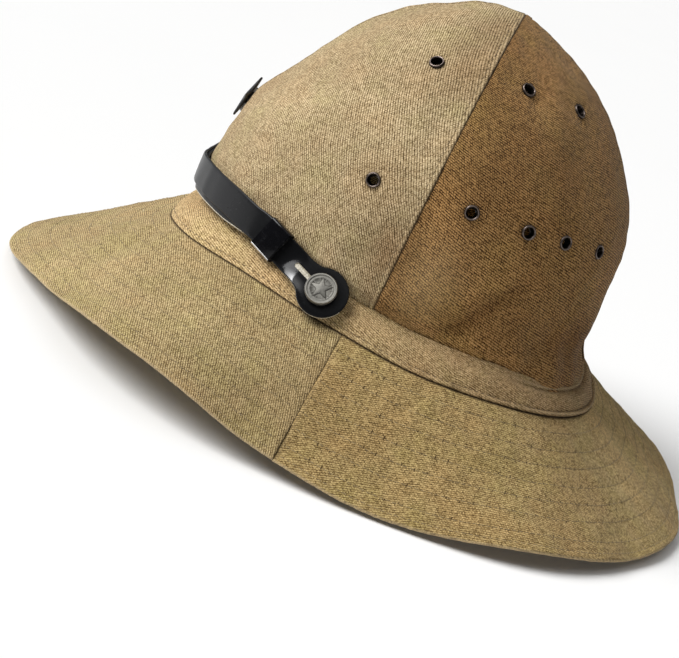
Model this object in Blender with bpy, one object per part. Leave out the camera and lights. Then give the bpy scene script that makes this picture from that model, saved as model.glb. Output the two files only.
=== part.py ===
"""A field sun hat of cotton twill: a crown of four pointed panels, a sewn band, a wide quilted brim
in two pieces, a doubled leather chin strap buttoned over the front, a star badge and sixteen eyelets.

The hat rests on its brim. Metres, +Z up, front at -Y, the wearer's left at +X. Angles run round the
head in degrees: 0 at the front, 90 at the wearer's left, 180 at the back, -90 at the wearer's right.
Heights are measured from the band's lower edge until the whole hat is set down at the end.
"""
import math
from collections import namedtuple

import bmesh
import bpy
from mathutils import Matrix, Vector
from mathutils.bvhtree import BVHTree

# Head and crown
HEAD_LENGTH = 0.200
HEAD_WIDTH = 0.1726
HEAD_SQUARENESS = 2.3
CROWN_HEIGHT = 0.133
CROWN_CLOTH = 0.0015
APEX_SETBACK = 0.0025
TIP_RADIUS = 0.0006

# Band round the foot of the crown
BAND_HEIGHT = 0.012
BAND_LEAN = 0.0086
BAND_CLOTH = 0.0022
PIPING = 0.0012

# Brim
BRIM_WIDTH = 0.0635
BRIM_CLOTH = 0.0024
BRIM_SEAM_ANGLE = 86.0

# Clearance that sewn or seated pieces keep
GAP = 0.0003

# Chin strap, its keepers and its buttons
STRAP_WIDTH = 0.0123
STRAP_LEATHER = 0.0013
STRAP_FLARE = 0.0036
STRAP_REST = 0.0006
STRAP_SPRING = 0.10
STRAP_BLEND = 0.008
TAB_DIAMETER = 0.0208
TAB_OFFSET = 0.0009
TAB_BEND = 0.72
TAB_NECK = 1.35
TAB_TIP = 0.18
NECK_WIDTH = 0.0122
SLOT_LENGTH = 0.0150
SLOT_WIDTH = 0.002
BUTTON_ANGLE = 75.6
KEEPER_ANGLE = 57.0
KEEPER_LENGTH = 0.0104
KEEPER_WALL = 0.0006
BUTTON_DIAMETER = 0.013
BUTTON_HEIGHT = 0.0032
BUTTON_POST_DIAMETER = 0.0036
BUTTON_POST_REACH = 0.0005
BUTTON_STAR = 0.68

# Badge and eyelets
BADGE_LEVEL = 0.410
BADGE_DIAMETER = 0.0215
BADGE_HEIGHT = 0.0024
BADGE_EDGE = 0.0008
BADGE_STANDOFF = 0.0006
BADGE_POST_DIAMETER = 0.006
STAR_WAIST = 0.44
EYELET_DIAMETER = 0.0062
EYELET_HOLE = 0.0033
EYELET_METAL = 0.0004
EYELET_LIP = 0.0009

# Round the brim from front to back, the same on both sides: its width as a share of BRIM_WIDTH, its
# droop in degrees below the level, and the rise of its sewn edge as a share of BAND_HEIGHT
BrimStation = namedtuple("BrimStation", "angle width droop rise")
BRIM_ROWS = (
    BrimStation(0, 1.23, 35.0, -0.44),
    BrimStation(30, 0.95, 38.2, 0.03),
    BrimStation(55, 0.945, 31.6, 0.39),
    BrimStation(80, 0.975, 38.0, 0.23),
    BrimStation(105, 1.00, 37.6, 0.00),
    BrimStation(130, 1.005, 30.6, -0.02),
    BrimStation(155, 1.005, 27.9, -0.14),
    BrimStation(180, 1.00, 28.3, -0.24),
)

# Level sections of the crown from just over the band to its point: the height as a share of
# CROWN_HEIGHT, the reach to the front and to the back as shares of half HEAD_LENGTH, the reach to each
# side as a share of half HEAD_WIDTH, and the squareness (2 is an oval, less draws it to the seams)
CrownSection = namedtuple("CrownSection", "height front back side squareness")
CROWN_ROWS = (
    CrownSection(0.145, 0.940, 0.850, 0.900, 2.27),
    CrownSection(0.225, 0.940, 0.850, 0.900, 2.20),
    CrownSection(0.340, 0.910, 0.835, 0.893, 2.12),
    CrownSection(0.450, 0.875, 0.830, 0.873, 2.04),
    CrownSection(0.565, 0.770, 0.785, 0.837, 1.95),
    CrownSection(0.675, 0.670, 0.695, 0.770, 1.82),
    CrownSection(0.790, 0.555, 0.565, 0.635, 1.70),
    CrownSection(0.880, 0.415, 0.415, 0.477, 1.65),
    CrownSection(0.945, 0.250, 0.255, 0.306, 1.62),
    CrownSection(0.985, 0.125, 0.105, 0.149, 1.60),
    CrownSection(1.000, 0.000, 0.000, 0.000, 1.60),
)

# Soft dents: angle and half spread in degrees, height and half spread as shares of CROWN_HEIGHT, and
# depth as a share of half HEAD_WIDTH
Dent = namedtuple("Dent", "angle spread height reach depth")
DENT_ROWS = (
    Dent(113, 11, 0.150, 0.045, 0.030),
    Dent(146, 13, 0.200, 0.060, 0.030),
    Dent(-128, 16, 0.180, 0.060, 0.028),
    Dent(24, 13, 0.520, 0.130, 0.012),
    Dent(-38, 14, 0.450, 0.120, 0.014),
)

# The line of the chin strap from the front to the button: its middle's height as a share of
# CROWN_HEIGHT
StrapStation = namedtuple("StrapStation", "angle height")
STRAP_ROWS = (
    StrapStation(0, 0.172),
    StrapStation(20, 0.178),
    StrapStation(40, 0.162),
    StrapStation(54, 0.128),
    StrapStation(66, 0.091),
    StrapStation(74, 0.067),
    StrapStation(86, 0.044),
)

# Eyelets on each side: angle in degrees, height as a share of CROWN_HEIGHT
EyeletPlace = namedtuple("EyeletPlace", "angle height")
EYELET_ROWS = (
    EyeletPlace(73.5, 0.434),
    EyeletPlace(66, 0.797),
    EyeletPlace(103.6, 0.485),
    EyeletPlace(122.2, 0.491),
    EyeletPlace(135.8, 0.495),
    EyeletPlace(151.7, 0.491),
    EyeletPlace(110, 0.840),
    EyeletPlace(145.1, 0.831),
)

# The button's face from its underside to its middle: radius and height as shares of half
# BUTTON_DIAMETER and of BUTTON_HEIGHT
ButtonRing = namedtuple("ButtonRing", "radius height")
BUTTON_ROWS = (
    ButtonRing(0.90, 0.00),
    ButtonRing(1.00, 0.35),
    ButtonRing(0.96, 0.75),
    ButtonRing(0.86, 0.82),
    ButtonRing(0.76, 0.66),
    ButtonRing(0.40, 0.72),
)

# Colours as linear red, green and blue, with metallic and roughness
FINISHES = {
    "twill": ((0.34, 0.24, 0.11), 0.0, 0.9),
    "leather": ((0.012, 0.013, 0.015), 0.0, 0.4),
    "lacquer": ((0.004, 0.004, 0.005), 0.0, 0.15),
    "silver": ((0.36, 0.35, 0.32), 1.0, 0.4),
    "bronze": ((0.10, 0.07, 0.05), 1.0, 0.45),
    "dark_enamel": ((0.010, 0.010, 0.012), 0.3, 0.35),
}

# Steps that the surfaces are divided into
PANEL_COLUMNS = 10
BRIM_STEP = 7.5
BRIM_RINGS = 6
BAND_COLUMNS = 72
STRAP_STEP = 4.0
TAB_STATIONS = 12
STRAP_FEELERS = (-1.0, -0.75, -0.5, -0.25, 0.0, 0.25, 0.5, 0.75, 1.0)
ROUND_SIDES = 20
EYELET_SIDES = 10


# Smooth curves through the tables

def column(rows, name):
    return [getattr(row, name) for row in rows]


def smooth(knots, values, x, flat_ends=False):
    """The value at x of the smooth curve through the knots."""
    last = len(knots) - 1

    def slope(i):
        if i in (0, last) and flat_ends:
            return 0.0
        a, b = max(i - 1, 0), min(i + 1, last)
        return (values[b] - values[a]) / (knots[b] - knots[a])

    i = 0
    while i < last - 1 and x > knots[i + 1]:
        i += 1
    span = knots[i + 1] - knots[i]
    t = min(max((x - knots[i]) / span, 0.0), 1.0)
    return ((2 * t ** 3 - 3 * t ** 2 + 1) * values[i] + (t ** 3 - 2 * t ** 2 + t) * span * slope(i)
            + (3 * t ** 2 - 2 * t ** 3) * values[i + 1] + (t ** 3 - t ** 2) * span * slope(i + 1))


def folded(angle):
    """The angle from the front, from 0 to 180, whichever side it is on."""
    return abs((angle + 180.0) % 360.0 - 180.0)


def brim_value(name, angle):
    return smooth(column(BRIM_ROWS, "angle"), column(BRIM_ROWS, name), folded(angle), flat_ends=True)


# The head's outline, the brim and the crown as surfaces

def outline(angle, front, back, side, squareness, centre=0.0):
    """A level outline made of four quarters that meet at the front, the back and the two sides."""
    s, c = math.sin(math.radians(angle)), math.cos(math.radians(angle))
    length = front + centre if c >= 0 else back - centre
    reach = (abs(s / side) ** squareness + abs(c / length) ** squareness) ** (-1 / squareness)
    return Vector((reach * s, centre - reach * c, 0.0))


def head_outline(angle, inset=0.0):
    half = HEAD_LENGTH / 2 - inset
    return outline(angle, half, half, HEAD_WIDTH / 2 - inset, HEAD_SQUARENESS)


def outward(angle):
    """The level direction square to the head's outline."""
    step = head_outline(angle + 0.1) - head_outline(angle - 0.1)
    return Vector((step.y, -step.x, 0.0)).normalized()


def seam_rise(angle):
    return brim_value("rise", angle) * BAND_HEIGHT


def brim_point(angle, share, depth=0.0):
    """A point on the brim, share 0 at the head and 1 at the rim, depth below its top face."""
    width = brim_value("width", angle) * BRIM_WIDTH
    droop = math.radians(brim_value("droop", angle))
    out = outward(angle)
    along = out * math.cos(droop) - Vector((0, 0, math.sin(droop)))
    up = out * math.sin(droop) + Vector((0, 0, math.cos(droop)))
    foot = head_outline(angle) + Vector((0, 0, seam_rise(angle)))
    return foot + along * (width * share) - up * depth


BAND_LEAN_ANGLE = math.atan2(BAND_LEAN, BAND_HEIGHT)
BAND_REACH = BAND_CLOTH / math.cos(BAND_LEAN_ANGLE)
CROWN_INSET = BAND_REACH + GAP / math.cos(BAND_LEAN_ANGLE)
COLLAR = CROWN_INSET + CROWN_CLOTH / math.cos(BAND_LEAN_ANGLE) + GAP


def crown_sections():
    """The crown's sections in metres: two behind the band, worked out from it, then the table's."""
    sections = []
    for height in (GAP, BAND_HEIGHT):
        inset = CROWN_INSET + BAND_LEAN * height / BAND_HEIGHT
        half_length, half_width = HEAD_LENGTH / 2 - inset, HEAD_WIDTH / 2 - inset
        sections.append(CrownSection(height, half_length, half_length, half_width, HEAD_SQUARENESS))
    for row in CROWN_ROWS:
        sections.append(CrownSection(row.height * CROWN_HEIGHT, row.front * HEAD_LENGTH / 2,
                                     row.back * HEAD_LENGTH / 2, row.side * HEAD_WIDTH / 2, row.squareness))
    return sections


SECTIONS = crown_sections()
LAST_SECTION = len(SECTIONS) - 1


def dent(angle, height):
    """How far the crown is pushed in at an angle and a height."""
    total = 0.0
    for row in DENT_ROWS:
        turn = (angle - row.angle + 180.0) % 360.0 - 180.0
        rise = height / CROWN_HEIGHT - row.height
        total += row.depth * HEAD_WIDTH / 2 * math.exp(-(turn / row.spread) ** 2 - (rise / row.reach) ** 2)
    return total


def crown_point(angle, row):
    """A point on the crown's outer face, row counting the sections from 0 at the brim."""
    rows = range(len(SECTIONS))
    height, front, back, side, squareness = (
        smooth(rows, column(SECTIONS, name), row) for name in CrownSection._fields)
    share = min(height / CROWN_HEIGHT, 1.0)
    centre = APEX_SETBACK * share
    point = outline(angle, max(front, TIP_RADIUS), max(back, TIP_RADIUS + 2 * centre), max(side, TIP_RADIUS),
                    squareness, centre)
    level = Vector((point.x, point.y - centre, 0.0))
    point -= level.normalized() * min(dent(angle, height), level.length / 2)
    point.z = height + seam_rise(angle) * (1 - share)
    return point


def crown_row(height):
    """The row at which the crown reaches a height."""
    low, high = 0.0, float(LAST_SECTION)
    for _ in range(40):
        middle = (low + high) / 2
        if smooth(range(len(SECTIONS)), column(SECTIONS, "height"), middle) < height:
            low = middle
        else:
            high = middle
    return (low + high) / 2


def crown_normal(angle, row):
    around = crown_point(angle + 0.5, row) - crown_point(angle - 0.5, row)
    upward = crown_point(angle, min(row + 0.05, LAST_SECTION)) - crown_point(angle, row - 0.05)
    return around.cross(upward).normalized()


# Making objects

def make_material(node, finish_name):
    colour, metallic, roughness = FINISHES[finish_name]
    material = bpy.data.materials.new(node + "_" + finish_name)
    material.use_nodes = True
    shader = material.node_tree.nodes["Principled BSDF"]
    shader.inputs["Base Color"].default_value = (*colour, 1.0)
    shader.inputs["Metallic"].default_value = metallic
    shader.inputs["Roughness"].default_value = roughness
    material.diffuse_color = (*colour, 1.0)
    return material


def make_object(node, bm, finish_name, smooth_angle=40.0):
    bmesh.ops.recalc_face_normals(bm, faces=bm.faces)
    mesh = bpy.data.meshes.new(node)
    bm.to_mesh(mesh)
    bm.free()
    mesh.shade_smooth()
    mesh.set_sharp_from_angle(angle=math.radians(smooth_angle))
    piece = bpy.data.objects.new(node, mesh)
    bpy.context.scene.collection.objects.link(piece)
    mesh.materials.append(make_material(node, finish_name))
    return piece


def skin(bm, rings, closed):
    """Faces between neighbouring rows of vertices, closed if each row runs all the way round."""
    for lower, upper in zip(rings, rings[1:]):
        count = len(lower)
        for i in range(count if closed else count - 1):
            j = (i + 1) % count
            bm.faces.new((lower[i], lower[j], upper[j], upper[i]))


def sheet_body(outer, inner, tip=None):
    """A closed wall between two grids of points, which may run to a shared tip (outer, inner)."""
    bm = bmesh.new()
    faces = [[[bm.verts.new(p) for p in row] for row in grid] for grid in (outer, inner)]
    for grid in faces:
        skin(bm, grid, closed=False)
    top, under = faces
    edges = [[row[0] for row in top], [row[-1] for row in top]]
    under_edges = [[row[0] for row in under], [row[-1] for row in under]]
    if tip:
        tips = [bm.verts.new(p) for p in tip]
        for grid, vertex in zip(faces, tips):
            for a, b in zip(grid[-1], grid[-1][1:]):
                bm.faces.new((a, b, vertex))
        for edge in edges:
            edge.append(tips[0])
        for edge in under_edges:
            edge.append(tips[1])
    else:
        skin(bm, [top[-1], under[-1]], closed=False)
    skin(bm, [top[0], under[0]], closed=False)
    for edge, under_edge in zip(edges, under_edges):
        skin(bm, [edge, under_edge], closed=False)
    return bm


def ring_body(rings):
    """A closed ring: each entry is one closed loop, and the last joins the first."""
    bm = bmesh.new()
    loops = [[bm.verts.new(p) for p in ring] for ring in rings]
    skin(bm, loops + [loops[0]], closed=True)
    return bm


def turned_points(profile, sides):
    """Loops round the local Z axis, one for each (radius, height) of the profile."""
    turns = [2 * math.pi * i / sides for i in range(sides)]
    return [[Vector((r * math.cos(a), r * math.sin(a), z)) for a in turns] for r, z in profile]


def turned_body(profile, sides):
    """A solid turned about the local Z axis, with a flat cap at each end."""
    bm = bmesh.new()
    loops = [[bm.verts.new(p) for p in ring] for ring in turned_points(profile, sides)]
    skin(bm, loops, closed=True)
    bm.faces.new(reversed(loops[0]))
    bm.faces.new(loops[-1])
    return bm


def prism(corners, low, high):
    """An upright solid on a flat outline."""
    bm = bmesh.new()
    base, top = ([bm.verts.new(c + Vector((0, 0, z))) for c in corners] for z in (low, high))
    bm.faces.new(reversed(base))
    bm.faces.new(top)
    skin(bm, [base, top], closed=True)
    return bm


def placement(point, normal, upward=Vector((0, 0, 1))):
    """A frame at a point whose Z is the normal and whose Y leans up the hat."""
    z = normal.normalized()
    x = upward.cross(z).normalized()
    y = z.cross(x)
    return Matrix.Translation(point) @ Matrix((x, y, z)).transposed().to_4x4()


def cut(piece, cutter):
    """Leave the cutter's shape out of the piece."""
    cutter.hide_render = True
    cutter.display_type = "WIRE"
    hole = piece.modifiers.new("hole", "BOOLEAN")
    hole.object = cutter
    hole.operation = "DIFFERENCE"
    hole.solver = "EXACT"


def surface_tree(piece):
    bm = bmesh.new()
    bm.from_mesh(piece.data)
    tree = BVHTree.FromBMesh(bm)
    bm.free()
    return tree


# The crown's four panels

PANEL_SPANS = {
    "crown_front_left": (0.0, 90.0),
    "crown_back_left": (90.0, 180.0),
    "crown_back_right": (180.0, 270.0),
    "crown_front_right": (270.0, 360.0),
}
PANEL_POSITIONS = [0.0, 1.0, 1.5] + [2.0 + i for i in range(LAST_SECTION - 2)]


def make_panel(node, start, end):
    """One wedge of the crown, held half a gap back from the seams on each side."""
    angles = [start + (end - start) * i / PANEL_COLUMNS for i in range(PANEL_COLUMNS + 1)]
    outer, inner = [], []
    for row in PANEL_POSITIONS:
        points, backs = [], []
        for i, angle in enumerate(angles):
            point = crown_point(angle, row)
            back = point - crown_normal(angle, max(row, 0.06)) * CROWN_CLOTH
            if row == 0.0:
                back.z = point.z
            side = (i == 0) - (i == PANEL_COLUMNS)
            turn = math.radians(angle)
            shift = Vector((math.cos(turn), math.sin(turn), 0.0)) * (side * GAP / 2)
            points.append(point + shift)
            backs.append(back + shift)
        outer.append(points)
        inner.append(backs)
    middle = math.radians((start + end) / 2)
    tip = Vector((math.sin(middle) * TIP_RADIUS, APEX_SETBACK - math.cos(middle) * TIP_RADIUS,
                  CROWN_HEIGHT))
    return make_object(node, sheet_body(outer, inner, (tip, tip - Vector((0, 0, CROWN_CLOTH)))), "twill")


# Band and brim

def make_band():
    """The strip sewn round the crown's foot, with a piped lower edge."""
    profile = (
        (BAND_REACH, GAP),
        (-PIPING / 2, GAP),
        (-PIPING, GAP + PIPING / 2),
        (-PIPING / 2, GAP + PIPING),
        (BAND_LEAN * 2 * PIPING / BAND_HEIGHT, GAP + 2 * PIPING),
        (BAND_LEAN - PIPING / 4, BAND_HEIGHT - PIPING / 2),
        (BAND_LEAN + PIPING / 4, BAND_HEIGHT),
        (BAND_LEAN + BAND_REACH, BAND_HEIGHT),
    )
    rings = []
    for i in range(BAND_COLUMNS):
        angle = 360.0 * i / BAND_COLUMNS
        ring = []
        for inset, height in profile:
            point = head_outline(angle, inset)
            point.z = height + seam_rise(angle) * (1 - height / CROWN_HEIGHT)
            ring.append(point)
        rings.append(ring)
    return make_object("band", ring_body(rings), "twill")


def make_brim(node, start, end):
    """One piece of the brim, with a level collar that runs in under the band and the crown."""
    count = round((end - start) / BRIM_STEP)
    trim = math.degrees(GAP / 2 / (HEAD_WIDTH / 2))
    start, end = start + trim, end - trim
    angles = [start + (end - start) * i / count for i in range(count + 1)]
    collar = [head_outline(angle, COLLAR) + Vector((0, 0, seam_rise(angle))) for angle in angles]
    top, under = [collar], [[point - Vector((0, 0, BRIM_CLOTH)) for point in collar]]
    for ring in range(BRIM_RINGS + 1):
        share = ring / BRIM_RINGS
        top.append([brim_point(angle, share) for angle in angles])
        under.append([brim_point(angle, share, BRIM_CLOTH) for angle in angles])
    return make_object(node, sheet_body(top, under), "twill")


# Chin strap

def strap_height(angle):
    share = smooth(column(STRAP_ROWS, "angle"), column(STRAP_ROWS, "height"), folded(angle), flat_ends=True)
    return share * CROWN_HEIGHT


def seat_point(angle, height):
    """The surface that leather lies along: the crown, and below it a soft slope out over the band."""
    bulge = CROWN_ROWS[0][0] * CROWN_HEIGHT
    crown = crown_point(angle, crown_row(max(height, bulge)))
    if height >= bulge:
        return crown
    foot = head_outline(angle, -STRAP_FLARE)
    share = (bulge - height) / bulge
    level = Vector((crown.x, crown.y, 0.0)).lerp(Vector((foot.x, foot.y, 0.0)), share ** 2)
    level.z = height + seam_rise(angle) * (1 - height / CROWN_HEIGHT)
    return level


def strap_line(angle, climb=0.0):
    """The strap's middle line on its seat, or a line that runs a little higher or lower."""
    return seat_point(angle, strap_height(angle) + climb)


def strap_frame(angle):
    """The strap's middle on its seat, with the directions along it, up across it and off the crown."""
    reach = STRAP_WIDTH * 0.4
    along = (strap_line(angle + 0.5) - strap_line(angle - 0.5)).normalized()
    off = along.cross(strap_line(angle, reach) - strap_line(angle, -reach)).normalized()
    return strap_line(angle), along, off.cross(along), off


def wall_height(walls, point, off):
    """How far the nearest wall stands above a point, measured along a direction."""
    reach = 0.02
    heights = [-reach]
    for wall in walls:
        distance = wall.ray_cast(point + off * reach, -off, 2 * reach)[3]
        if distance is not None:
            heights.append(reach - distance)
    return max(heights)


def smoothstep(share):
    share = min(max(share, 0.0), 1.0)
    return share * share * (3 - 2 * share)


def tab_half_width(distance):
    """Half the strap's width at a distance from the button, positive towards the front."""
    distance += TAB_OFFSET
    radius = TAB_DIAMETER / 2
    bend, neck = radius * TAB_BEND, radius * TAB_NECK
    if distance < bend:
        return max(math.sqrt(max(radius ** 2 - distance ** 2, 0.0)), radius * TAB_TIP)
    edge = math.sqrt(radius ** 2 - bend ** 2)
    if distance < neck:
        return edge + (NECK_WIDTH / 2 - edge) * math.sin((distance - bend) / (neck - bend) * math.pi / 2)
    return NECK_WIDTH / 2 + (STRAP_WIDTH / 2 - NECK_WIDTH / 2) * smoothstep((distance - neck) / radius)


class StrapPath:
    """The line that both straps follow round the front, kept clear of the crown and the band.

    It runs straight through the keepers and under the buttons, and springs clear of every dip.
    """

    def __init__(self, walls):
        self.walls = walls
        self.flats = [self.flat(side * place, side * start, side * end)
                      for side in (1, -1)
                      for place, start, end in (
                          (KEEPER_ANGLE, -KEEPER_LENGTH / 2 - GAP, KEEPER_LENGTH / 2 + GAP),
                          (BUTTON_ANGLE, -TAB_DIAMETER / 2, TAB_OFFSET + TAB_DIAMETER / 2))]
        self.degree = (strap_line(BUTTON_ANGLE + 5) - strap_line(BUTTON_ANGLE - 5)).length / 10
        self.tab_end = BUTTON_ANGLE + (TAB_OFFSET + TAB_DIAMETER / 2) / self.degree
        self.keeper_end = KEEPER_ANGLE + KEEPER_LENGTH / 2 / self.degree
        self.angles = self.spread()
        self.frames = [self.straightened(angle) for angle in self.angles]
        steps = [(b[0] - a[0]).length for a, b in zip(self.frames, self.frames[1:])]
        self.travel = [sum(steps[:i]) for i in range(len(self.frames))]
        self.needs = self.levelled([self.need(i) for i in range(len(self.frames))])
        self.lifts = [max(need - STRAP_SPRING * abs(where - here)
                          for need, where in zip(self.needs, self.travel)) for here in self.travel]

    def flat(self, angle, start, end):
        """A stretch where the strap is straight: its frame, and its ends as distances along it."""
        return strap_frame(angle), min(start, end), max(start, end)

    def spread(self):
        """The angles of the stations, closer together along the tabs, the same on both sides."""
        coarse = math.ceil(KEEPER_ANGLE / STRAP_STEP)
        half = [KEEPER_ANGLE * i / coarse for i in range(coarse)]
        half.append(KEEPER_ANGLE)
        half += [self.keeper_end + (BUTTON_ANGLE - self.keeper_end) * i / TAB_STATIONS
                 for i in range(TAB_STATIONS)]
        half += [BUTTON_ANGLE + (self.tab_end - BUTTON_ANGLE) * math.sin(math.pi / 2 * i / TAB_STATIONS)
                 for i in range(TAB_STATIONS + 1)]
        return [-angle for angle in reversed(half[1:])] + half

    def straightened(self, angle):
        """The frame on the seat at an angle, brought into line with a flat stretch that is near."""
        frame = strap_frame(angle)
        for place, start, end in self.flats:
            middle, along = place[0], place[1]
            distance = (frame[0] - middle).dot(along)
            beyond = max(distance - end, start - distance, 0.0)
            if (frame[0] - middle).length < STRAP_WIDTH * 2:
                share = 1 - smoothstep(beyond / STRAP_BLEND)
                straight = (middle + along * distance, *place[1:])
                frame = tuple(a.lerp(b, share) for a, b in zip(frame, straight))
        return (frame[0], *(v.normalized() for v in frame[1:]))

    def need(self, i):
        """The least standoff of a station, with room for a keeper's wall where there is one."""
        angle = abs(self.angles[i])
        middle, along, across, off = self.frames[i]
        half = tab_half_width((BUTTON_ANGLE - angle) * self.degree)
        room = STRAP_REST
        if abs(angle - KEEPER_ANGLE) * self.degree < KEEPER_LENGTH / 2 + KEEPER_WALL:
            half += KEEPER_WALL + GAP
            room += KEEPER_WALL
        return room + max(wall_height(self.walls, middle + across * (half * share) + along * shift, off)
                          for share in STRAP_FEELERS for shift in (-CROWN_CLOTH, CROWN_CLOTH))

    def levelled(self, needs):
        """The standoffs, with every station of a flat stretch at the highest one in it."""
        levels = list(needs)
        for place, start, end in self.flats:
            inside = [i for i, frame in enumerate(self.frames)
                      if start - GAP <= (frame[0] - place[0]).dot(place[1]) <= end + GAP
                      and (frame[0] - place[0]).length < STRAP_WIDTH * 2]
            for i in inside:
                levels[i] = max(needs[k] for k in inside)
        return levels

    def at(self, angle):
        """The frame on the strap's inner face at the station with this angle."""
        i = self.angles.index(angle)
        before, here, after = (self.frames[k][0] + self.frames[k][3] * self.lifts[k]
                               for k in (i - 1, i, i + 1))
        along = (after - before).normalized()
        across = self.frames[i][2]
        return here, along, across, along.cross(across)


def frame_matrix(point, x, z):
    return Matrix.Translation(point) @ Matrix((x, z.cross(x), z)).transposed().to_4x4()


def tab_matrix(path, side):
    """A frame on the inner face of a tab, with X towards the front and Z off the crown."""
    middle, along, _, off = path.at(side * BUTTON_ANGLE)
    return frame_matrix(middle, along * -side, off)


def keyhole_outline():
    """The slot in a tab: a round hole for the button's post, then a slit towards the front."""
    radius, half = BUTTON_POST_DIAMETER / 2 + GAP, SLOT_WIDTH / 2
    opening = math.asin(half / radius)
    corners = []
    for i in range(EYELET_SIDES + 1):
        turn = opening + (2 * math.pi - 2 * opening) * i / EYELET_SIDES
        corners.append(Vector((radius * math.cos(turn), radius * math.sin(turn), 0.0)))
    for i in range(5):
        turn = math.pi * (i / 4 - 0.5)
        corners.append(Vector((SLOT_LENGTH - half + half * math.cos(turn), half * math.sin(turn), 0.0)))
    return corners


def make_strap(node, path, side, layer):
    """A strap from its round tab under the button on one side to its keeper on the other side.

    It lies on the crown round its own button and in its layer over the front.
    """
    outer, inner = [], []
    for angle, (middle, _, across, off), lift in zip(path.angles, path.frames, path.lifts):
        own = angle * side
        if own < -path.keeper_end:
            continue
        lowered = smoothstep((own - path.keeper_end) / (BUTTON_ANGLE - path.keeper_end) * 1.6)
        lift += layer * (STRAP_LEATHER + GAP) * (1 - lowered)
        half = tab_half_width((BUTTON_ANGLE - own) * path.degree)
        columns = [middle + off * lift + across * (half * k) for k in (-1.0, 0.0, 1.0)]
        inner.append(columns)
        outer.append([p + off * STRAP_LEATHER for p in columns])
    strap = make_object(node, sheet_body(outer, inner), "leather")
    slot = make_object(node + "_slot", prism(keyhole_outline(), -SLOT_LENGTH / 2, SLOT_LENGTH / 2), "leather")
    slot.matrix_local = tab_matrix(path, side)
    cut(strap, slot)
    return [strap, slot]


def make_keeper(node, path, side):
    """The loop round both layers of the strap."""
    stack = 2 * STRAP_LEATHER + 3 * GAP
    half_width = STRAP_WIDTH / 2 + GAP
    loops = []
    for grow in (KEEPER_WALL, 0.0):
        low, high, half = -GAP - grow, stack - GAP + grow, half_width + grow
        loops.append([(-half, low), (half, low), (half, high), (-half, high)])
    middle, along, across, off = path.at(side * KEEPER_ANGLE)
    rings = []
    for loop, ends in zip(loops, ((-0.5, 0.5), (0.5, -0.5))):
        for end in ends:
            rings.append([middle + along * (end * KEEPER_LENGTH) + across * w + off * h for w, h in loop])
    return make_object(node, ring_body(rings), "lacquer")


def star_outline(radius, waist, points=5):
    """The corners of a star, tips and waists in turn, with one tip up."""
    corners = []
    for i in range(2 * points):
        reach = radius if i % 2 == 0 else radius * waist
        turn = math.pi / 2 + math.pi * i / points
        corners.append(Vector((reach * math.cos(turn), reach * math.sin(turn), 0.0)))
    return corners


def star_prism(corners, low, shoulder, high):
    """A star with upright sides from low to the shoulder, and a middle raised to high."""
    bm = bmesh.new()
    base, edge = ([bm.verts.new(c + Vector((0, 0, z))) for c in corners] for z in (low, shoulder))
    peak = bm.verts.new(Vector((0, 0, high)))
    bm.faces.new(reversed(base))
    skin(bm, [base, edge], closed=True)
    for a, b in zip(edge, edge[1:] + edge[:1]):
        bm.faces.new((a, b, peak))
    return bm


def join_by_union(piece, addition):
    union = piece.modifiers.new("join", "BOOLEAN")
    union.object = addition
    union.operation = "UNION"
    union.solver = "EXACT"
    addition.hide_render = True
    addition.display_type = "WIRE"


def make_button(node, path, side):
    """A metal button with a rounded rim, a raised star and a post down through the tab."""
    r, h = BUTTON_DIAMETER / 2, BUTTON_HEIGHT
    post = BUTTON_POST_DIAMETER / 2
    seat = STRAP_LEATHER + GAP
    profile = [(post, -BUTTON_POST_REACH), (post, seat)]
    profile += [(r * row.radius, seat + h * row.height) for row in BUTTON_ROWS]
    body = make_object(node, turned_body(profile, ROUND_SIDES), "silver")
    star = star_prism(star_outline(r * BUTTON_STAR, STAR_WAIST), seat + h / 2, seat + h * 0.8, seat + h)
    relief = make_object(node + "_star", star, "silver")
    join_by_union(body, relief)
    for piece in (body, relief):
        piece.matrix_local = tab_matrix(path, side)
    return [body, relief]


def make_badge():
    """A convex star on a short post at the front of the crown."""
    row = crown_row(BADGE_LEVEL * CROWN_HEIGHT)
    normal = crown_normal(0.0, row)
    frame = placement(crown_point(0.0, row) + normal * GAP, normal)
    shoulder = BADGE_STANDOFF + BADGE_EDGE
    corners = star_outline(BADGE_DIAMETER / 2, STAR_WAIST)
    star = star_prism(corners, BADGE_STANDOFF, shoulder, BADGE_STANDOFF + BADGE_HEIGHT)
    star = make_object("star_badge", star, "dark_enamel", 20.0)
    radius = BADGE_POST_DIAMETER / 2
    post = turned_body(((radius, 0.0), (radius, BADGE_STANDOFF + BADGE_EDGE / 2)), EYELET_SIDES)
    post = make_object("star_badge_post", post, "dark_enamel")
    join_by_union(star, post)
    star.matrix_local = frame
    post.matrix_local = frame
    return [star, post]


# Eyelets

def eyelet_profile():
    """The closed section of a clinched eyelet, from its barrel over the flange to the roll behind."""
    hole, metal = EYELET_HOLE / 2, EYELET_METAL
    flange, lip = EYELET_DIAMETER / 2, EYELET_LIP
    back = -(CROWN_CLOTH + 2 * GAP)
    roll = hole + metal + GAP * 2
    return ((hole, back - metal), (hole, lip * 0.6), (hole + metal, lip), (flange * 0.8, lip * 0.9),
            (flange, GAP), (hole + metal, GAP), (hole + metal, back), (roll, back), (roll, back - metal))


def make_eyelet(node, frame):
    rings = turned_points(eyelet_profile(), EYELET_SIDES)
    eyelet = make_object(node, ring_body(rings), "bronze", 50.0)
    eyelet.matrix_local = frame
    return eyelet


def panel_of(angle):
    return next(node for node, (start, end) in PANEL_SPANS.items() if start <= angle % 360.0 < end)


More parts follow.
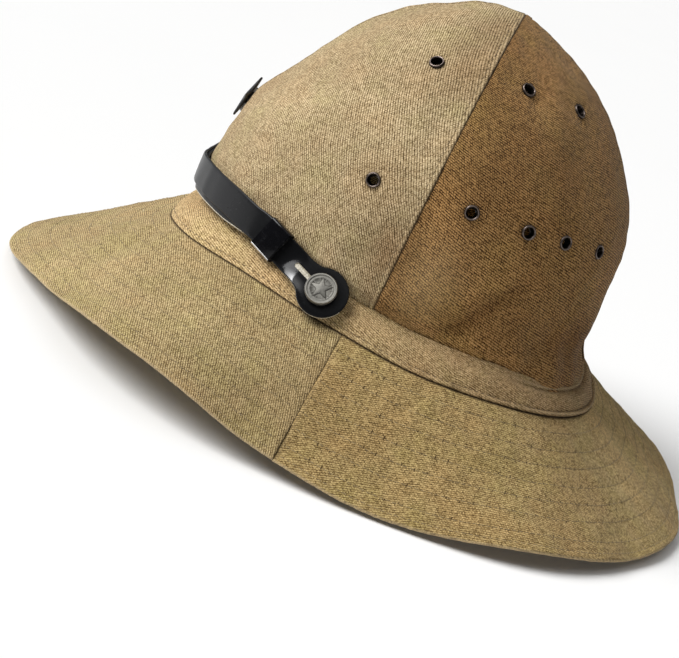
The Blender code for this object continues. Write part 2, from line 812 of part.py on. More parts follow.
def make_eyelets(panels):
    """Eight eyelets on each side, each through a hole in its panel and seated on its facet."""
    pieces = []
    trees = {node: surface_tree(panel) for node, panel in panels.items()}
    for side, word in ((1, "left"), (-1, "right")):
        for number, place in enumerate(EYELET_ROWS, start=1):
            turn = side * place.angle
            panel = panel_of(turn)
            row = crown_row(place.height * CROWN_HEIGHT)
            point, normal = crown_point(turn, row), crown_normal(turn, row)
            seat, facing, _, _ = trees[panel].ray_cast(point + normal * CROWN_CLOTH * 4, -normal)
            frame = placement(seat, facing)
            reach = EYELET_HOLE / 2 + EYELET_METAL + GAP
            profile = ((reach, -3 * CROWN_CLOTH), (reach, 3 * CROWN_CLOTH))
            node = f"eyelet_{word}_{number}"
            cutter = make_object(node + "_hole", turned_body(profile, EYELET_SIDES), "bronze")
            cutter.matrix_local = frame
            cut(panels[panel], cutter)
            pieces += [make_eyelet(node, frame), cutter]
    return pieces


# Setting the hat down

def rest_placement():
    """The turn and lift that set the brim's lowest points on Z = 0, centred over the origin."""
    rim = [brim_point(angle * 1.0, 1.0, depth) for angle in range(-180, 180) for depth in (0.0, BRIM_CLOTH)]

    def floor_height(pitch):
        s, c = math.sin(pitch), math.cos(pitch)
        return min(p.y * s + p.z * c for p in rim)

    low, high = math.radians(-10), math.radians(10)
    for _ in range(60):
        third = (high - low) / 3
        if floor_height(low + third) < floor_height(high - third):
            low += third
        else:
            high -= third
    pitch = (low + high) / 2
    turn = Matrix.Rotation(pitch, 4, "X")
    turned = [turn @ p for p in rim]
    centre = (max(p.y for p in turned) + min(p.y for p in turned)) / 2
    return Matrix.Translation((0.0, -centre, -floor_height(pitch))) @ turn


def main():
    for item in list(bpy.data.objects):
        bpy.data.objects.remove(item, do_unlink=True)
    panels = {node: make_panel(node, *span) for node, span in PANEL_SPANS.items()}
    pieces = list(panels.values())
    pieces += make_eyelets(panels)
    band = make_band()
    brims = [make_brim("brim_front", -BRIM_SEAM_ANGLE, BRIM_SEAM_ANGLE),
             make_brim("brim_back", BRIM_SEAM_ANGLE, 360.0 - BRIM_SEAM_ANGLE)]
    pieces += [band, *brims]
    path = StrapPath([surface_tree(piece) for piece in (*panels.values(), band, *brims)])
    pieces += make_strap("strap_left", path, 1, 0)
    pieces += make_strap("strap_right", path, -1, 1)
    for side, word in ((1, "left"), (-1, "right")):
        pieces.append(make_keeper("keeper_" + word, path, side))
        pieces += make_button("button_" + word, path, side)
    pieces += make_badge()

    hat = bpy.data.objects.new("hat", None)
    bpy.context.scene.collection.objects.link(hat)
    hat.matrix_world = rest_placement()
    for piece in pieces:
        piece.parent = hat
    bpy.context.view_layer.update()


main()
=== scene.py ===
"""A field sun hat of cotton twill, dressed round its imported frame: panelled crown, sewn band, quilted
brim, doubled leather chin strap with keepers and buttons, star badge and eyelets.

Metres, +Z up, front at -Y, the wearer's left at +X. Angles run round the head in degrees: 0 at the
front, 90 at the wearer's left, 180 at the back. Surfaces are worked out level and then set down.
"""
import math
from collections import namedtuple

import bmesh
import bpy
import numpy as np
from mathutils import Matrix, Vector
from mathutils.bvhtree import BVHTree


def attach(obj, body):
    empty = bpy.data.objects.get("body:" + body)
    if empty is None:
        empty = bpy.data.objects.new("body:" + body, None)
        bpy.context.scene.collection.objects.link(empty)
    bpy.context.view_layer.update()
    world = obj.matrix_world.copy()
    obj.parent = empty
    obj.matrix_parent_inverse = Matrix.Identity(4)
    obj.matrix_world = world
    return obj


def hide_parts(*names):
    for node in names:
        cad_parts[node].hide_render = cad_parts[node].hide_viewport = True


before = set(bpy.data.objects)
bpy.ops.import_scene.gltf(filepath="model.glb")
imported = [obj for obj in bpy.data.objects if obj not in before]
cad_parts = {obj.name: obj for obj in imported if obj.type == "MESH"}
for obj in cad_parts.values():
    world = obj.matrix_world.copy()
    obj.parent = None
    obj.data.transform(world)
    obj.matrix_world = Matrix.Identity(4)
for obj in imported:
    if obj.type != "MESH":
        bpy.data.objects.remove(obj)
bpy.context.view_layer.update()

# Sizes of the hat, the same as those of its solids
HEAD_LENGTH = 0.200
HEAD_WIDTH = 0.1726
HEAD_SQUARENESS = 2.3
CROWN_HEIGHT = 0.133
CROWN_CLOTH = 0.0015
APEX_SETBACK = 0.0025
TIP_RADIUS = 0.0006
BAND_HEIGHT = 0.012
BAND_LEAN = 0.0086
BAND_CLOTH = 0.0022
PIPING = 0.0012
BRIM_WIDTH = 0.0635
BRIM_CLOTH = 0.0024
BRIM_SEAM_ANGLE = 86.0
GAP = 0.0003
STRAP_WIDTH = 0.0123
STRAP_LEATHER = 0.0013
STRAP_FLARE = 0.0036
STRAP_BLEND = 0.008
TAB_DIAMETER = 0.0208
TAB_OFFSET = 0.0009
TAB_BEND = 0.72
TAB_NECK = 1.35
NECK_WIDTH = 0.0122
SLOT_LENGTH = 0.0150
SLOT_WIDTH = 0.0021
BUTTON_ANGLE = 75.6
KEEPER_ANGLE = 57.0
KEEPER_LENGTH = 0.0104
KEEPER_WALL = 0.0006
KEEPER_CORNER = 0.0010
BUTTON_DIAMETER = 0.013
BUTTON_POST_DIAMETER = 0.0036
BADGE_LEVEL = 0.410
BADGE_DIAMETER = 0.0215
BADGE_HEIGHT = 0.0024
BADGE_STANDOFF = 0.0006
BADGE_POST_DIAMETER = 0.006
STAR_WAIST = 0.44
EYELET_DIAMETER = 0.0062
EYELET_HOLE = 0.0033
EYELET_METAL = 0.0004
EYELET_LIP = 0.0009

# How the hat is set down: its turn about X in degrees, then its shift to the back and up
REST_TURN = -3.05659
REST_SHIFT = 0.00624363
REST_LIFT = 0.04330068

# Round the brim: width as a share of BRIM_WIDTH, droop in degrees, rise as a share of BAND_HEIGHT
BrimStation = namedtuple("BrimStation", "angle width droop rise")
BRIM_ROWS = [BrimStation(*row) for row in (
    (0, 1.23, 35.0, -0.44), (30, 0.95, 38.2, 0.03),
    (55, 0.945, 31.6, 0.39), (80, 0.975, 38.0, 0.23),
    (105, 1.00, 37.6, 0.00), (130, 1.005, 30.6, -0.02),
    (155, 1.005, 27.9, -0.14), (180, 1.00, 28.3, -0.24),
)]

# Level sections of the crown: height as a share of CROWN_HEIGHT, reaches as shares of half
# HEAD_LENGTH and half HEAD_WIDTH, and squareness
CrownSection = namedtuple("CrownSection", "height front back side squareness")
CROWN_ROWS = [CrownSection(*row) for row in (
    (0.145, 0.940, 0.850, 0.900, 2.27), (0.225, 0.940, 0.850, 0.900, 2.20),
    (0.340, 0.910, 0.835, 0.893, 2.12), (0.450, 0.875, 0.830, 0.873, 2.04),
    (0.565, 0.770, 0.785, 0.837, 1.95), (0.675, 0.670, 0.695, 0.770, 1.82),
    (0.790, 0.555, 0.565, 0.635, 1.70), (0.880, 0.415, 0.415, 0.477, 1.65),
    (0.945, 0.250, 0.255, 0.306, 1.62), (0.985, 0.125, 0.105, 0.149, 1.60),
    (1.000, 0.000, 0.000, 0.000, 1.60),
)]

# Soft dents: angle and half spread, height and half spread as shares of CROWN_HEIGHT, and depth as a
# share of half HEAD_WIDTH
Dent = namedtuple("Dent", "angle spread height reach depth")
DENT_ROWS = [Dent(*row) for row in (
    (113, 11, 0.150, 0.045, 0.030), (146, 13, 0.200, 0.060, 0.030),
    (-128, 16, 0.180, 0.060, 0.028), (24, 13, 0.520, 0.130, 0.012),
    (-38, 14, 0.450, 0.120, 0.014),
)]

# The strap's middle line and the eyelets, with heights as shares of CROWN_HEIGHT
StrapStation = namedtuple("StrapStation", "angle height")
STRAP_ROWS = [StrapStation(*row) for row in (
    (0, 0.172), (20, 0.178), (40, 0.162), (54, 0.128), (66, 0.091), (74, 0.067), (86, 0.044),
)]
EyeletPlace = namedtuple("EyeletPlace", "angle height")
EYELET_ROWS = [EyeletPlace(*row) for row in (
    (73.5, 0.434), (66, 0.797), (103.6, 0.485), (122.2, 0.491), (135.8, 0.495), (151.7, 0.491),
    (110, 0.840), (145.1, 0.831),
)]

# Steps of the cloth grids, and their closer steps beside a seam and at the rim
CLOTH_STEP = 0.00095
SEAM_STEPS = (0.0, 0.00015, 0.00035, 0.0006, 0.0009, 0.0013, 0.0017, 0.0021, 0.0025, 0.0030, 0.0037,
              0.0046, 0.0058, 0.0072)
RIM_STEPS = (0.0030, 0.0024, 0.0018, 0.0013, 0.0009, 0.0006, 0.00035, 0.00018, 0.00006, 0.0)
SEAM_STITCH_COLUMN = SEAM_STEPS.index(0.0021)
PANEL_MIDDLE_COLUMNS = 84
NARROW_CLOTH = 0.030
BRIM_COLUMN_STEP = 0.0011
BRIM_CHANNELS = 8
INNER_UV_SHIFT = 0.0018
STITCH_PITCH = 0.0026
THREAD_RADIUS = 0.00016


# Smooth curves and the hat's surfaces, for one angle or for a whole grid of them

def column(rows, name):
    return [getattr(row, name) for row in rows]


def smooth(knots, values, x, flat_ends=False):
    """The smooth curve through the knots, at one x or at many."""
    knots, values = np.asarray(knots, float), np.asarray(values, float)
    rise = np.append(values[1:], values[-1]) - np.append(values[0], values[:-1])
    run = np.append(knots[1:], knots[-1]) - np.append(knots[0], knots[:-1])
    slopes = rise / run
    if flat_ends:
        slopes[0] = slopes[-1] = 0.0
    i = np.clip(np.searchsorted(knots, x) - 1, 0, len(knots) - 2)
    span = knots[i + 1] - knots[i]
    t = np.clip((x - knots[i]) / span, 0.0, 1.0)
    return ((2 * t ** 3 - 3 * t ** 2 + 1) * values[i] + (t ** 3 - 2 * t ** 2 + t) * span * slopes[i]
            + (3 * t ** 2 - 2 * t ** 3) * values[i + 1] + (t ** 3 - t ** 2) * span * slopes[i + 1])


def smoothstep(share):
    share = np.clip(share, 0.0, 1.0)
    return share * share * (3 - 2 * share)


def hump(x, middle, spread):
    """A smooth hump of height 1 about its middle."""
    return np.exp(-((x - middle) / spread) ** 2)


def unit(vectors):
    return vectors / np.maximum(np.linalg.norm(vectors, axis=-1, keepdims=True), 1e-12)


def folded(angle):
    return np.abs((np.asarray(angle, float) + 180.0) % 360.0 - 180.0)


def brim_value(name, angle):
    return smooth(column(BRIM_ROWS, "angle"), column(BRIM_ROWS, name), folded(angle), flat_ends=True)


def outline(angle, front, back, side, squareness, centre=0.0):
    s, c = np.sin(np.radians(angle)), np.cos(np.radians(angle))
    length = np.where(c >= 0, front + centre, back - centre)
    reach = (np.abs(s / side) ** squareness + np.abs(c / length) ** squareness) ** (-1 / squareness)
    return np.stack(np.broadcast_arrays(reach * s, centre - reach * c, 0.0 * s), axis=-1)


def head_outline(angle, inset=0.0):
    half = HEAD_LENGTH / 2 - inset
    return outline(angle, half, half, HEAD_WIDTH / 2 - inset, HEAD_SQUARENESS)


def outward(angle):
    step = head_outline(np.asarray(angle) + 0.1) - head_outline(np.asarray(angle) - 0.1)
    return unit(np.stack([step[..., 1], -step[..., 0], 0 * step[..., 0]], axis=-1))


def seam_rise(angle):
    return brim_value("rise", angle) * BAND_HEIGHT


def raised(points, height):
    points = points.copy()
    points[..., 2] += height
    return points


def brim_point(angle, share, depth=0.0):
    """Points on the brim, share 0 at the head and 1 at the rim, depth below its top face."""
    angle, share = np.broadcast_arrays(np.asarray(angle, float), share)
    width = (brim_value("width", angle) * BRIM_WIDTH * share)[..., None]
    droop = np.radians(brim_value("droop", angle))[..., None]
    out, level_up = outward(angle), np.array([0.0, 0.0, 1.0])
    along = out * np.cos(droop) - level_up * np.sin(droop)
    up = out * np.sin(droop) + level_up * np.cos(droop)
    return raised(head_outline(angle), seam_rise(angle)) + along * width - up * np.asarray(depth)[..., None]


BAND_LEAN_ANGLE = math.atan2(BAND_LEAN, BAND_HEIGHT)
BAND_REACH = BAND_CLOTH / math.cos(BAND_LEAN_ANGLE)
BAND_SLOPE = math.hypot(BAND_LEAN, BAND_HEIGHT - GAP)
CROWN_INSET = BAND_REACH + GAP / math.cos(BAND_LEAN_ANGLE)
COLLAR = CROWN_INSET + CROWN_CLOTH / math.cos(BAND_LEAN_ANGLE) + GAP


def crown_sections():
    sections = []
    for height in (GAP, BAND_HEIGHT):
        inset = CROWN_INSET + BAND_LEAN * height / BAND_HEIGHT
        half_length, half_width = HEAD_LENGTH / 2 - inset, HEAD_WIDTH / 2 - inset
        sections.append((height, half_length, half_length, half_width, HEAD_SQUARENESS))
    for row in CROWN_ROWS:
        sections.append((row.height * CROWN_HEIGHT, row.front * HEAD_LENGTH / 2,
                         row.back * HEAD_LENGTH / 2, row.side * HEAD_WIDTH / 2, row.squareness))
    return np.array(sections)


SECTIONS = crown_sections()
LAST_SECTION = len(SECTIONS) - 1
FINE_ROWS = np.linspace(0, LAST_SECTION, 3000)
FINE_HEIGHTS = smooth(range(len(SECTIONS)), SECTIONS[:, 0], FINE_ROWS)


def dent(angle, height):
    total = 0.0
    for row in DENT_ROWS:
        turn = (angle - row.angle + 180.0) % 360.0 - 180.0
        total = total + (row.depth * HEAD_WIDTH / 2 * hump(turn, 0.0, row.spread)
                         * hump(height / CROWN_HEIGHT, row.height, row.reach))
    return total


def crown_point(angle, row):
    """Points on the crown's outer face, row counting the sections from 0 at the brim."""
    angle, row = np.broadcast_arrays(np.asarray(angle, float), np.asarray(row, float))
    height, front, back, side, squareness = (
        smooth(range(len(SECTIONS)), SECTIONS[:, k], row) for k in range(5))
    share = np.minimum(height / CROWN_HEIGHT, 1.0)
    centre = APEX_SETBACK * share
    point = outline(angle, np.maximum(front, TIP_RADIUS), np.maximum(back, TIP_RADIUS + 2 * centre),
                    np.maximum(side, TIP_RADIUS), squareness, centre)
    middle = np.stack([0 * centre, centre, 0 * centre], axis=-1)
    reach = np.linalg.norm(point - middle, axis=-1)
    push = np.minimum(dent(angle, height), reach / 2) / np.maximum(reach, 1e-9)
    point = point - (point - middle) * push[..., None]
    return raised(point, height + seam_rise(angle) * (1 - share))


def crown_normal(angle, row):
    around = crown_point(angle + 0.5, row) - crown_point(angle - 0.5, row)
    upward = crown_point(angle, np.minimum(row + 0.05, LAST_SECTION)) - crown_point(angle, row - 0.05)
    return unit(np.cross(around, upward))


def crown_row(height):
    return np.interp(height, FINE_HEIGHTS, FINE_ROWS)


def turned_down(vectors):
    """Directions on the level hat, turned as the hat is when it is set down."""
    s, c = math.sin(math.radians(REST_TURN)), math.cos(math.radians(REST_TURN))
    x, y, z = np.moveaxis(np.asarray(vectors, float), -1, 0)
    return np.stack([x, c * y - s * z, s * y + c * z], axis=-1)


def set_down(points):
    return turned_down(points) + np.array([0.0, REST_SHIFT, REST_LIFT])


def ripple(a, b, seed, shortest, longest, count=14):
    """Soft uneven waves over two coordinates in metres, mostly from -1 to 1."""
    random = np.random.default_rng(seed)
    total, weight = 0.0, 0.0
    for _ in range(count):
        length = shortest * (longest / shortest) ** random.random()
        turn, phase = random.random(2) * 2 * math.pi
        wave = np.sin((a * math.cos(turn) + b * math.sin(turn)) * 2 * math.pi / length + phase)
        total = total + wave * length
        weight += length ** 2
    return total / math.sqrt(weight)


# Shader maths

class Wire:
    """An output of a shader node. The signs + - * / ** on wires and numbers add Math nodes."""

    def __init__(self, tree, socket=None):
        self.tree = tree
        self.socket = socket

    def node(self, kind, inputs=None, out=0, stops=None, **settings):
        """Adds a node, with its settings first and then the values or wires of its sockets."""
        node = self.tree.nodes.new("ShaderNode" + kind)
        for name, value in settings.items():
            setattr(node, name, value)
        if stops:
            ramp = node.color_ramp.elements
            while len(ramp) < len(stops):
                ramp.new(0.5)
            for element, (position, colour) in zip(ramp, stops):
                element.position = position
                element.color = (*colour, 1.0)
        for key, value in (inputs or {}).items():
            if isinstance(value, Wire):
                self.tree.links.new(value.socket, node.inputs[key])
            else:
                node.inputs[key].default_value = value
        return Wire(self.tree, node.outputs[out])

    def sign(self, operation, *values, clamp=False):
        return self.node("Math", dict(enumerate(values)), operation=operation, use_clamp=clamp)

    def __add__(self, other):
        return self.sign("ADD", self, other)

    __radd__ = __add__

    def __sub__(self, other):
        return self.sign("SUBTRACT", self, other)

    def __rsub__(self, other):
        return self.sign("SUBTRACT", other, self)

    def __mul__(self, other):
        return self.sign("MULTIPLY", self, other)

    __rmul__ = __mul__

    def __truediv__(self, other):
        return self.sign("DIVIDE", self, other)

    def __rtruediv__(self, other):
        return self.sign("DIVIDE", other, self)

    def __pow__(self, other):
        return self.sign("POWER", self, other)

    def floor(self):
        return self.sign("FLOOR", self)

    def part(self):
        """What is left after the whole number."""
        return self.sign("FRACT", self)

    def clamp(self):
        return self.sign("ADD", self, 0.0, clamp=True)

    def above(self, low, high):
        """0 below low, 1 above high, smooth between."""
        return self.node("MapRange", {"Value": self, "From Min": low, "From Max": high},
                         interpolation_type="SMOOTHSTEP")

    def from_half(self):
        """How far what is left after the whole number is from one half."""
        return self.sign("ABSOLUTE", self.part() - 0.5)

    def chance(self, x, y, z):
        """A random number from 0 to 1 for each place of whole coordinates."""
        cell = self.node("CombineXYZ", {0: x, 1: y, 2: z})
        return cell.node("TexWhiteNoise", {"Vector": cell}, noise_dimensions="2D")

    def attribute(self, name):
        return self.node("Attribute", attribute_name=name, out=2)

    def bump(self, strength, distance):
        """The shading of the value as a height."""
        return self.node("Bump", {"Height": self, "Strength": strength, "Distance": distance})

    def mix(self, a, b, blend="MIX"):
        """Colour a where this wire is 0 and b where it is 1."""
        inputs = {0: self, 6: a, 7: b}
        for key in (6, 7):
            if isinstance(inputs[key], tuple):
                inputs[key] = (*inputs[key], 1.0)
        return self.node("Mix", inputs, out=2, data_type="RGBA", blend_type=blend)

    def axes(self):
        """The three numbers of a vector."""
        node = self.node("SeparateXYZ", {0: self}).socket.node
        return [Wire(self.tree, output) for output in node.outputs]

    def noise(self, scale, detail=2.0, out=0, **more):
        return self.node("TexNoise", {"Vector": self, "Scale": scale, "Detail": detail, **more}, out=out)


def new_material(name, colour, roughness, **constants):
    """A material with its constants set on the shader's own sockets, the shader, and a first wire."""
    material = bpy.data.materials.new(name)
    material.use_nodes = True
    shader = material.node_tree.nodes["Principled BSDF"]
    shader.inputs["Base Color"].default_value = (*colour, 1.0)
    shader.inputs["Roughness"].default_value = roughness
    for key, value in constants.items():
        shader.inputs[key.replace("_", " ")].default_value = value
    return material, shader, Wire(material.node_tree)


def feed(shader, **links):
    for key, wire in links.items():
        wire.tree.links.new(wire.socket, shader.inputs[key.replace("_", " ")])


# Finishes

RIB_PITCH = 0.00089
FLOAT_LENGTH = 0.00105
RIB_SHIFT = 0.382

# The twill's shade: its middle, and how much each layer of the pattern moves it
MIDDLE_SHADE = 0.43
WEAVE_SHADE = 0.82
YARN_SHADE = 0.07
FLECK_SHADE = 0.50
GRAIN_SHADE = 0.50
CLOUD_SHADE = 0.05
STAIN_SHADE = 0.10

# Shares of the twill's tone, red, green and blue, for its deepest and most lit shade and for its tints
DEEP_TONE = (0.12, 0.07, 0.01)
LIT_TONE = (2.20, 2.38, 2.85)
OLIVE_TINT = (0.965, 1.0, 0.92)
RUST_TINT = (1.03, 0.985, 0.965)
# Tints for painted light and painted shade: the colour is multiplied towards the first where the tone
# attribute is above 0 and towards the second where it is below
PAINTED_LIGHT_TINT = (2.0, 2.04, 2.12)
PAINTED_SHADE_TINT = (0.28, 0.12, 0.0)
# The colour of grime and of painted shade in seams, gaps and needle holes
SEAM_DIRT_AND_SHADE = (0.045, 0.025, 0.010)
# The colour of wear and of painted highlights on ridges and edges
WEAR_AND_HIGHLIGHT_COLOUR = (0.56, 0.43, 0.26)


def twill(name, rib_angle, tone, rib_depth=1.0, speckle=1.0, pitch=1.0):
    """Cotton twill: slanting ribs of mottled yarn, fine flecks, soft stains, and needle holes by seams
    darkened as painted shade. The piece's attributes add painted light and shade, grime, wear and painted
    highlights.
    """
    material, shader, start = new_material(name, tone, 0.9, Sheen_Weight=0.08, Sheen_Roughness=0.5,
                                           Specular_IOR_Level=0.12)
    place = start.node("UVMap", uv_map="cloth")
    wander = place.noise(60.0, 2.0)
    turned = place.node("Mapping", {"Vector": place, "Rotation": (0.0, 0.0, math.radians(-rib_angle))})
    along, across, _ = turned.axes()
    rib = across / (RIB_PITCH * pitch) + wander * 1.6
    rib_number = rib.floor()
    run = along / FLOAT_LENGTH + rib_number * RIB_SHIFT + wander * 2.0
    yarn = start.chance(rib_number, run.floor(), 0.0)
    fleck = start.chance((rib * 2.0 + 0.3).floor(), (run * 1.7).floor(), 3.0)
    rounded = 1.0 - (rib.part() * 2.0 - 1.0) ** 2.0
    float_end = 1.0 - (run.part() * 2.0 - 1.0) ** 4.0
    weave = rounded * (float_end * 0.6 + 0.4)
    grain = place.noise(2300.0, 1.0)
    cloud = place.noise(310.0, 3.0, Roughness=0.65)
    stain = place.noise(24.0, 3.0, Roughness=0.6)
    shade = (MIDDLE_SHADE + (weave - 0.5) * (WEAVE_SHADE * rib_depth) + (yarn - 0.5) * (YARN_SHADE * speckle)
             + (fleck - 0.5) * (FLECK_SHADE * speckle) + (grain - 0.5) * (GRAIN_SHADE * speckle)
             + (cloud - 0.5) * CLOUD_SHADE + (stain - 0.5) * STAIN_SHADE)
    deep = tuple(c * k for c, k in zip(tone, DEEP_TONE))
    lit = tuple(min(c * k, 0.95) for c, k in zip(tone, LIT_TONE))
    colour = shade.node("ValToRGB", {0: shade}, stops=((0.0, deep), (MIDDLE_SHADE, tone), (1.0, lit)))
    hue = place.noise(60.0, 3.0, Roughness=0.6) * 0.5 + place.noise(22.0, 2.0) * 0.5
    colour = hue.above(0.48, 0.62).mix(colour, OLIVE_TINT, "MULTIPLY")
    colour = (1.0 - hue).above(0.48, 0.62).mix(colour, RUST_TINT, "MULTIPLY")
    dirt, rubbed, painted_light_shade_and_tone = (start.attribute(key) for key in ("dirt", "rubbed", "tone"))
    # Painted light where the tone attribute is above 0 and painted shade where it is below
    colour = painted_light_shade_and_tone.clamp().mix(colour, PAINTED_LIGHT_TINT, "MULTIPLY")
    colour = (0.0 - painted_light_shade_and_tone).clamp().mix(colour, PAINTED_SHADE_TINT, "MULTIPLY")
    # Wear and painted highlights on ridges and edges lighten the colour
    colour = (rubbed * (grain * 1.2 + 0.2)).clamp().mix(colour, WEAR_AND_HIGHLIGHT_COLOUR)
    # Grime and painted shade in seams and gaps darken the colour
    colour = (dirt * (0.75 + grain * 0.5)).clamp().mix(colour, SEAM_DIRT_AND_SHADE)
    stitch_along, stitch_across, _ = start.node("UVMap", uv_map="stitch").axes()
    off_row, off_hole = stitch_across.from_half(), stitch_along.from_half()
    chosen = start.chance((stitch_along + 0.5).floor(), stitch_across.floor(), 0.0).above(0.35, 0.60)
    hole = off_hole.above(0.435, 0.475) * off_row.above(0.37, 0.43) * chosen
    # Needle holes darkened as painted shade
    colour = (hole * 0.85).mix(colour, SEAM_DIRT_AND_SHADE)
    height = weave * 0.8 + grain * 0.6 + yarn * 0.35 + fleck * 0.25 - hole * 1.5
    feed(shader, Base_Color=colour, Normal=height.bump(0.55, 0.00030), Roughness=0.82 + grain * 0.2)
    return material


def thread_finish(name, colour):
    material, shader, start = new_material(name, colour, 0.8, Sheen_Weight=0.2)
    place = start.node("TexCoord", out=3)
    fibre = place.noise(2500.0, 2.0)
    tint = place.noise(140.0, 2.0)
    feed(shader, Base_Color=((fibre + tint - 0.6) * 0.9).clamp().mix(
        tuple(0.55 * c for c in colour), tuple(min(1.0, 1.25 * c) for c in colour)))
    return material


def strap_leather(name, colour, roughness, grain_depth):
    """Coated leather with a fine pebble, soft scuffs, wear along the edges and a grey painted sheen."""
    material, shader, start = new_material(name, colour, roughness, Specular_IOR_Level=0.15, Coat_IOR=2.0,
                                           Coat_Roughness=0.12)
    place = start.node("TexCoord", out=3)
    pebble = place.node("TexVoronoi", {"Vector": place, "Scale": 1900.0}, feature="SMOOTH_F1")
    cloud = place.noise(160.0, 3.0)
    scuff = place.noise(620.0, 4.0, Roughness=0.75, Distortion=0.6)
    painted_light_and_wear, polished = start.attribute("rubbed"), start.attribute("polished")
    light = tuple(c * 4.0 + 0.015 for c in colour)
    # Scuffs, wear along the edges, and a painted sheen that lightens the front end
    colour_wire = (scuff.above(0.58, 0.80) * 0.30 + painted_light_and_wear * (0.6 + scuff * 0.6)).clamp().mix(colour, light)
    rough = roughness + (cloud - 0.5) * 0.12 + scuff.above(0.55, 0.75) * 0.08 + painted_light_and_wear * 0.32
    bump = (pebble * 0.7 + scuff * 0.5).bump(grain_depth, 0.00010)
    feed(shader, Base_Color=colour_wire, Roughness=rough.clamp(), Normal=bump, Coat_Weight=polished)
    return material


def raw_leather(name):
    material, shader, start = new_material(name, (0.62, 0.57, 0.45), 0.75)
    place = start.node("TexCoord", out=3)
    fibre = place.noise(1500.0, 4.0, Roughness=0.7)
    colour = fibre.above(0.30, 0.70).mix((0.40, 0.36, 0.28), (0.84, 0.80, 0.68))
    feed(shader, Base_Color=colour, Normal=fibre.bump(0.5, 0.00015))
    return material


def lacquer(name):
    """Glossy black lacquer, with white lines along its corners painted as highlights, one matte and one
    metallic.
    """
    material, shader, start = new_material(name, (0.006, 0.006, 0.007), 0.16, Specular_IOR_Level=0.20)
    place = start.node("TexCoord", out=3)
    smear = place.noise(420.0, 4.0, Roughness=0.7, Distortion=1.0)
    bump = place.noise(260.0, 2.0).bump(0.12, 0.0002)
    painted_glint = start.attribute("rubbed")
    glint_white = painted_glint.above(0.15, 0.35)
    black = smear.above(0.5, 0.8).mix((0.004, 0.004, 0.005), (0.014, 0.014, 0.016))
    feed(shader, Roughness=0.11 + smear.above(0.45, 0.80) * 0.16 + glint_white * 0.12, Normal=bump,
         Base_Color=glint_white.mix(black, (1.0, 1.0, 1.0)), Metallic=painted_glint.above(0.5, 0.8))
    return material


def old_metal(name, bright, dull, roughness, metallic=1.0):
    """Cast metal, dark in its hollows and rubbed bright on what stands proud."""
    material, shader, start = new_material(name, bright, roughness, Metallic=metallic)
    place = start.node("TexCoord", out=3)
    proud = start.attribute("rubbed")
    tarnish = place.noise(1300.0, 4.0, Roughness=0.7)
    pits = place.noise(4200.0, 3.0)
    level = (proud + (tarnish - 0.5) * 0.9).clamp()
    bump = (pits * 0.6 + tarnish).bump(0.35, 0.00012)
    feed(shader, Base_Color=level.mix(dull, bright), Normal=bump,
         Roughness=(roughness + (tarnish - 0.5) * 0.3 + (1.0 - proud) * 0.15).clamp())
    return material


def floor_finish():
    material, shader, start = new_material("pale_floor", (0.93, 0.93, 0.925), 0.7, Specular_IOR_Level=0.2,
                                           Emission_Color=(1.0, 1.0, 1.0, 1.0), Emission_Strength=0.03)
    cloud = start.node("TexCoord", out=3).noise(3.0, 3.0)
    feed(shader, Base_Color=cloud.mix((0.92, 0.92, 0.915), (0.94, 0.94, 0.935)))
    return material


FRONT_TWILL = twill("crown_front_twill", 129.0, (0.350, 0.256, 0.132), 0.80)
# The back panels' twill is the front's cloth made darker and more saturated: painted shade on the side turned
# from the light
BACK_TWILL = twill("crown_back_twill", -15.0, (0.207, 0.111, 0.035), 1.3, 1.6, 1.10)
BAND_TWILL = twill("band_twill", -14.0, (0.388, 0.268, 0.124), 0.6)
BRIM_FRONT_TWILL = twill("brim_front_twill", 15.0, (0.326, 0.236, 0.107), 0.80)
BRIM_BACK_TWILL = twill("brim_back_twill", -65.0, (0.324, 0.223, 0.087), 0.55, 1.1)
CROWN_THREAD = thread_finish("crown_thread", (0.26, 0.18, 0.085))
BRIM_THREAD = thread_finish("brim_thread", (0.34, 0.25, 0.12))
OUTER_LEATHER = strap_leather("charcoal_leather", (0.006, 0.0062, 0.0068), 0.15, 0.20)
RAW_LEATHER = raw_leather("raw_leather")
BLACK_LACQUER = lacquer("black_lacquer")
ANTIQUE_SILVER = old_metal("antique_silver", (0.40, 0.39, 0.355), (0.120, 0.115, 0.102), 0.50)
ANTIQUE_BRONZE = old_metal("antique_bronze", (0.25, 0.20, 0.175), (0.010, 0.008, 0.007), 0.28)
DARK_ENAMEL = old_metal("dark_enamel", (0.060, 0.058, 0.056), (0.007, 0.007, 0.008), 0.30, 0.5)


# Making pieces

def dressed(piece, materials, node_names=()):
    """Gives a finished piece its materials, its body and the nodes that it stands for."""
    for material in materials:
        piece.data.materials.append(material)
    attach(piece, "root")
    if node_names:
        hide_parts(*node_names)
    return piece


def linked(thing):
    """Puts a new object into the scene."""
    bpy.context.scene.collection.objects.link(thing)
    return thing


def mesh_piece(name, vertices, faces, attributes=None, uvs=None, sharp_angle=50.0):
    mesh = bpy.data.meshes.new(name)
    mesh.from_pydata(np.asarray(vertices).tolist(), [], faces)
    mesh.update()
    corner_vertices = np.empty(len(mesh.loops), np.int32)
    mesh.loops.foreach_get("vertex_index", corner_vertices)
    for key, values in (uvs or {}).items():
        layer = mesh.uv_layers.new(name=key)
        layer.data.foreach_set("uv", values[corner_vertices].astype(np.float32).ravel())
    for key, values in (attributes or {}).items():
        layer = mesh.attributes.new(key, "FLOAT", "POINT")
        layer.data.foreach_set("value", values.astype(np.float32))
    mesh.shade_smooth()
    mesh.set_sharp_from_angle(angle=math.radians(sharp_angle))
    return linked(bpy.data.objects.new(name, mesh))


Cloth = namedtuple("Cloth", "outer inner uv stitch dirt rubbed tone")


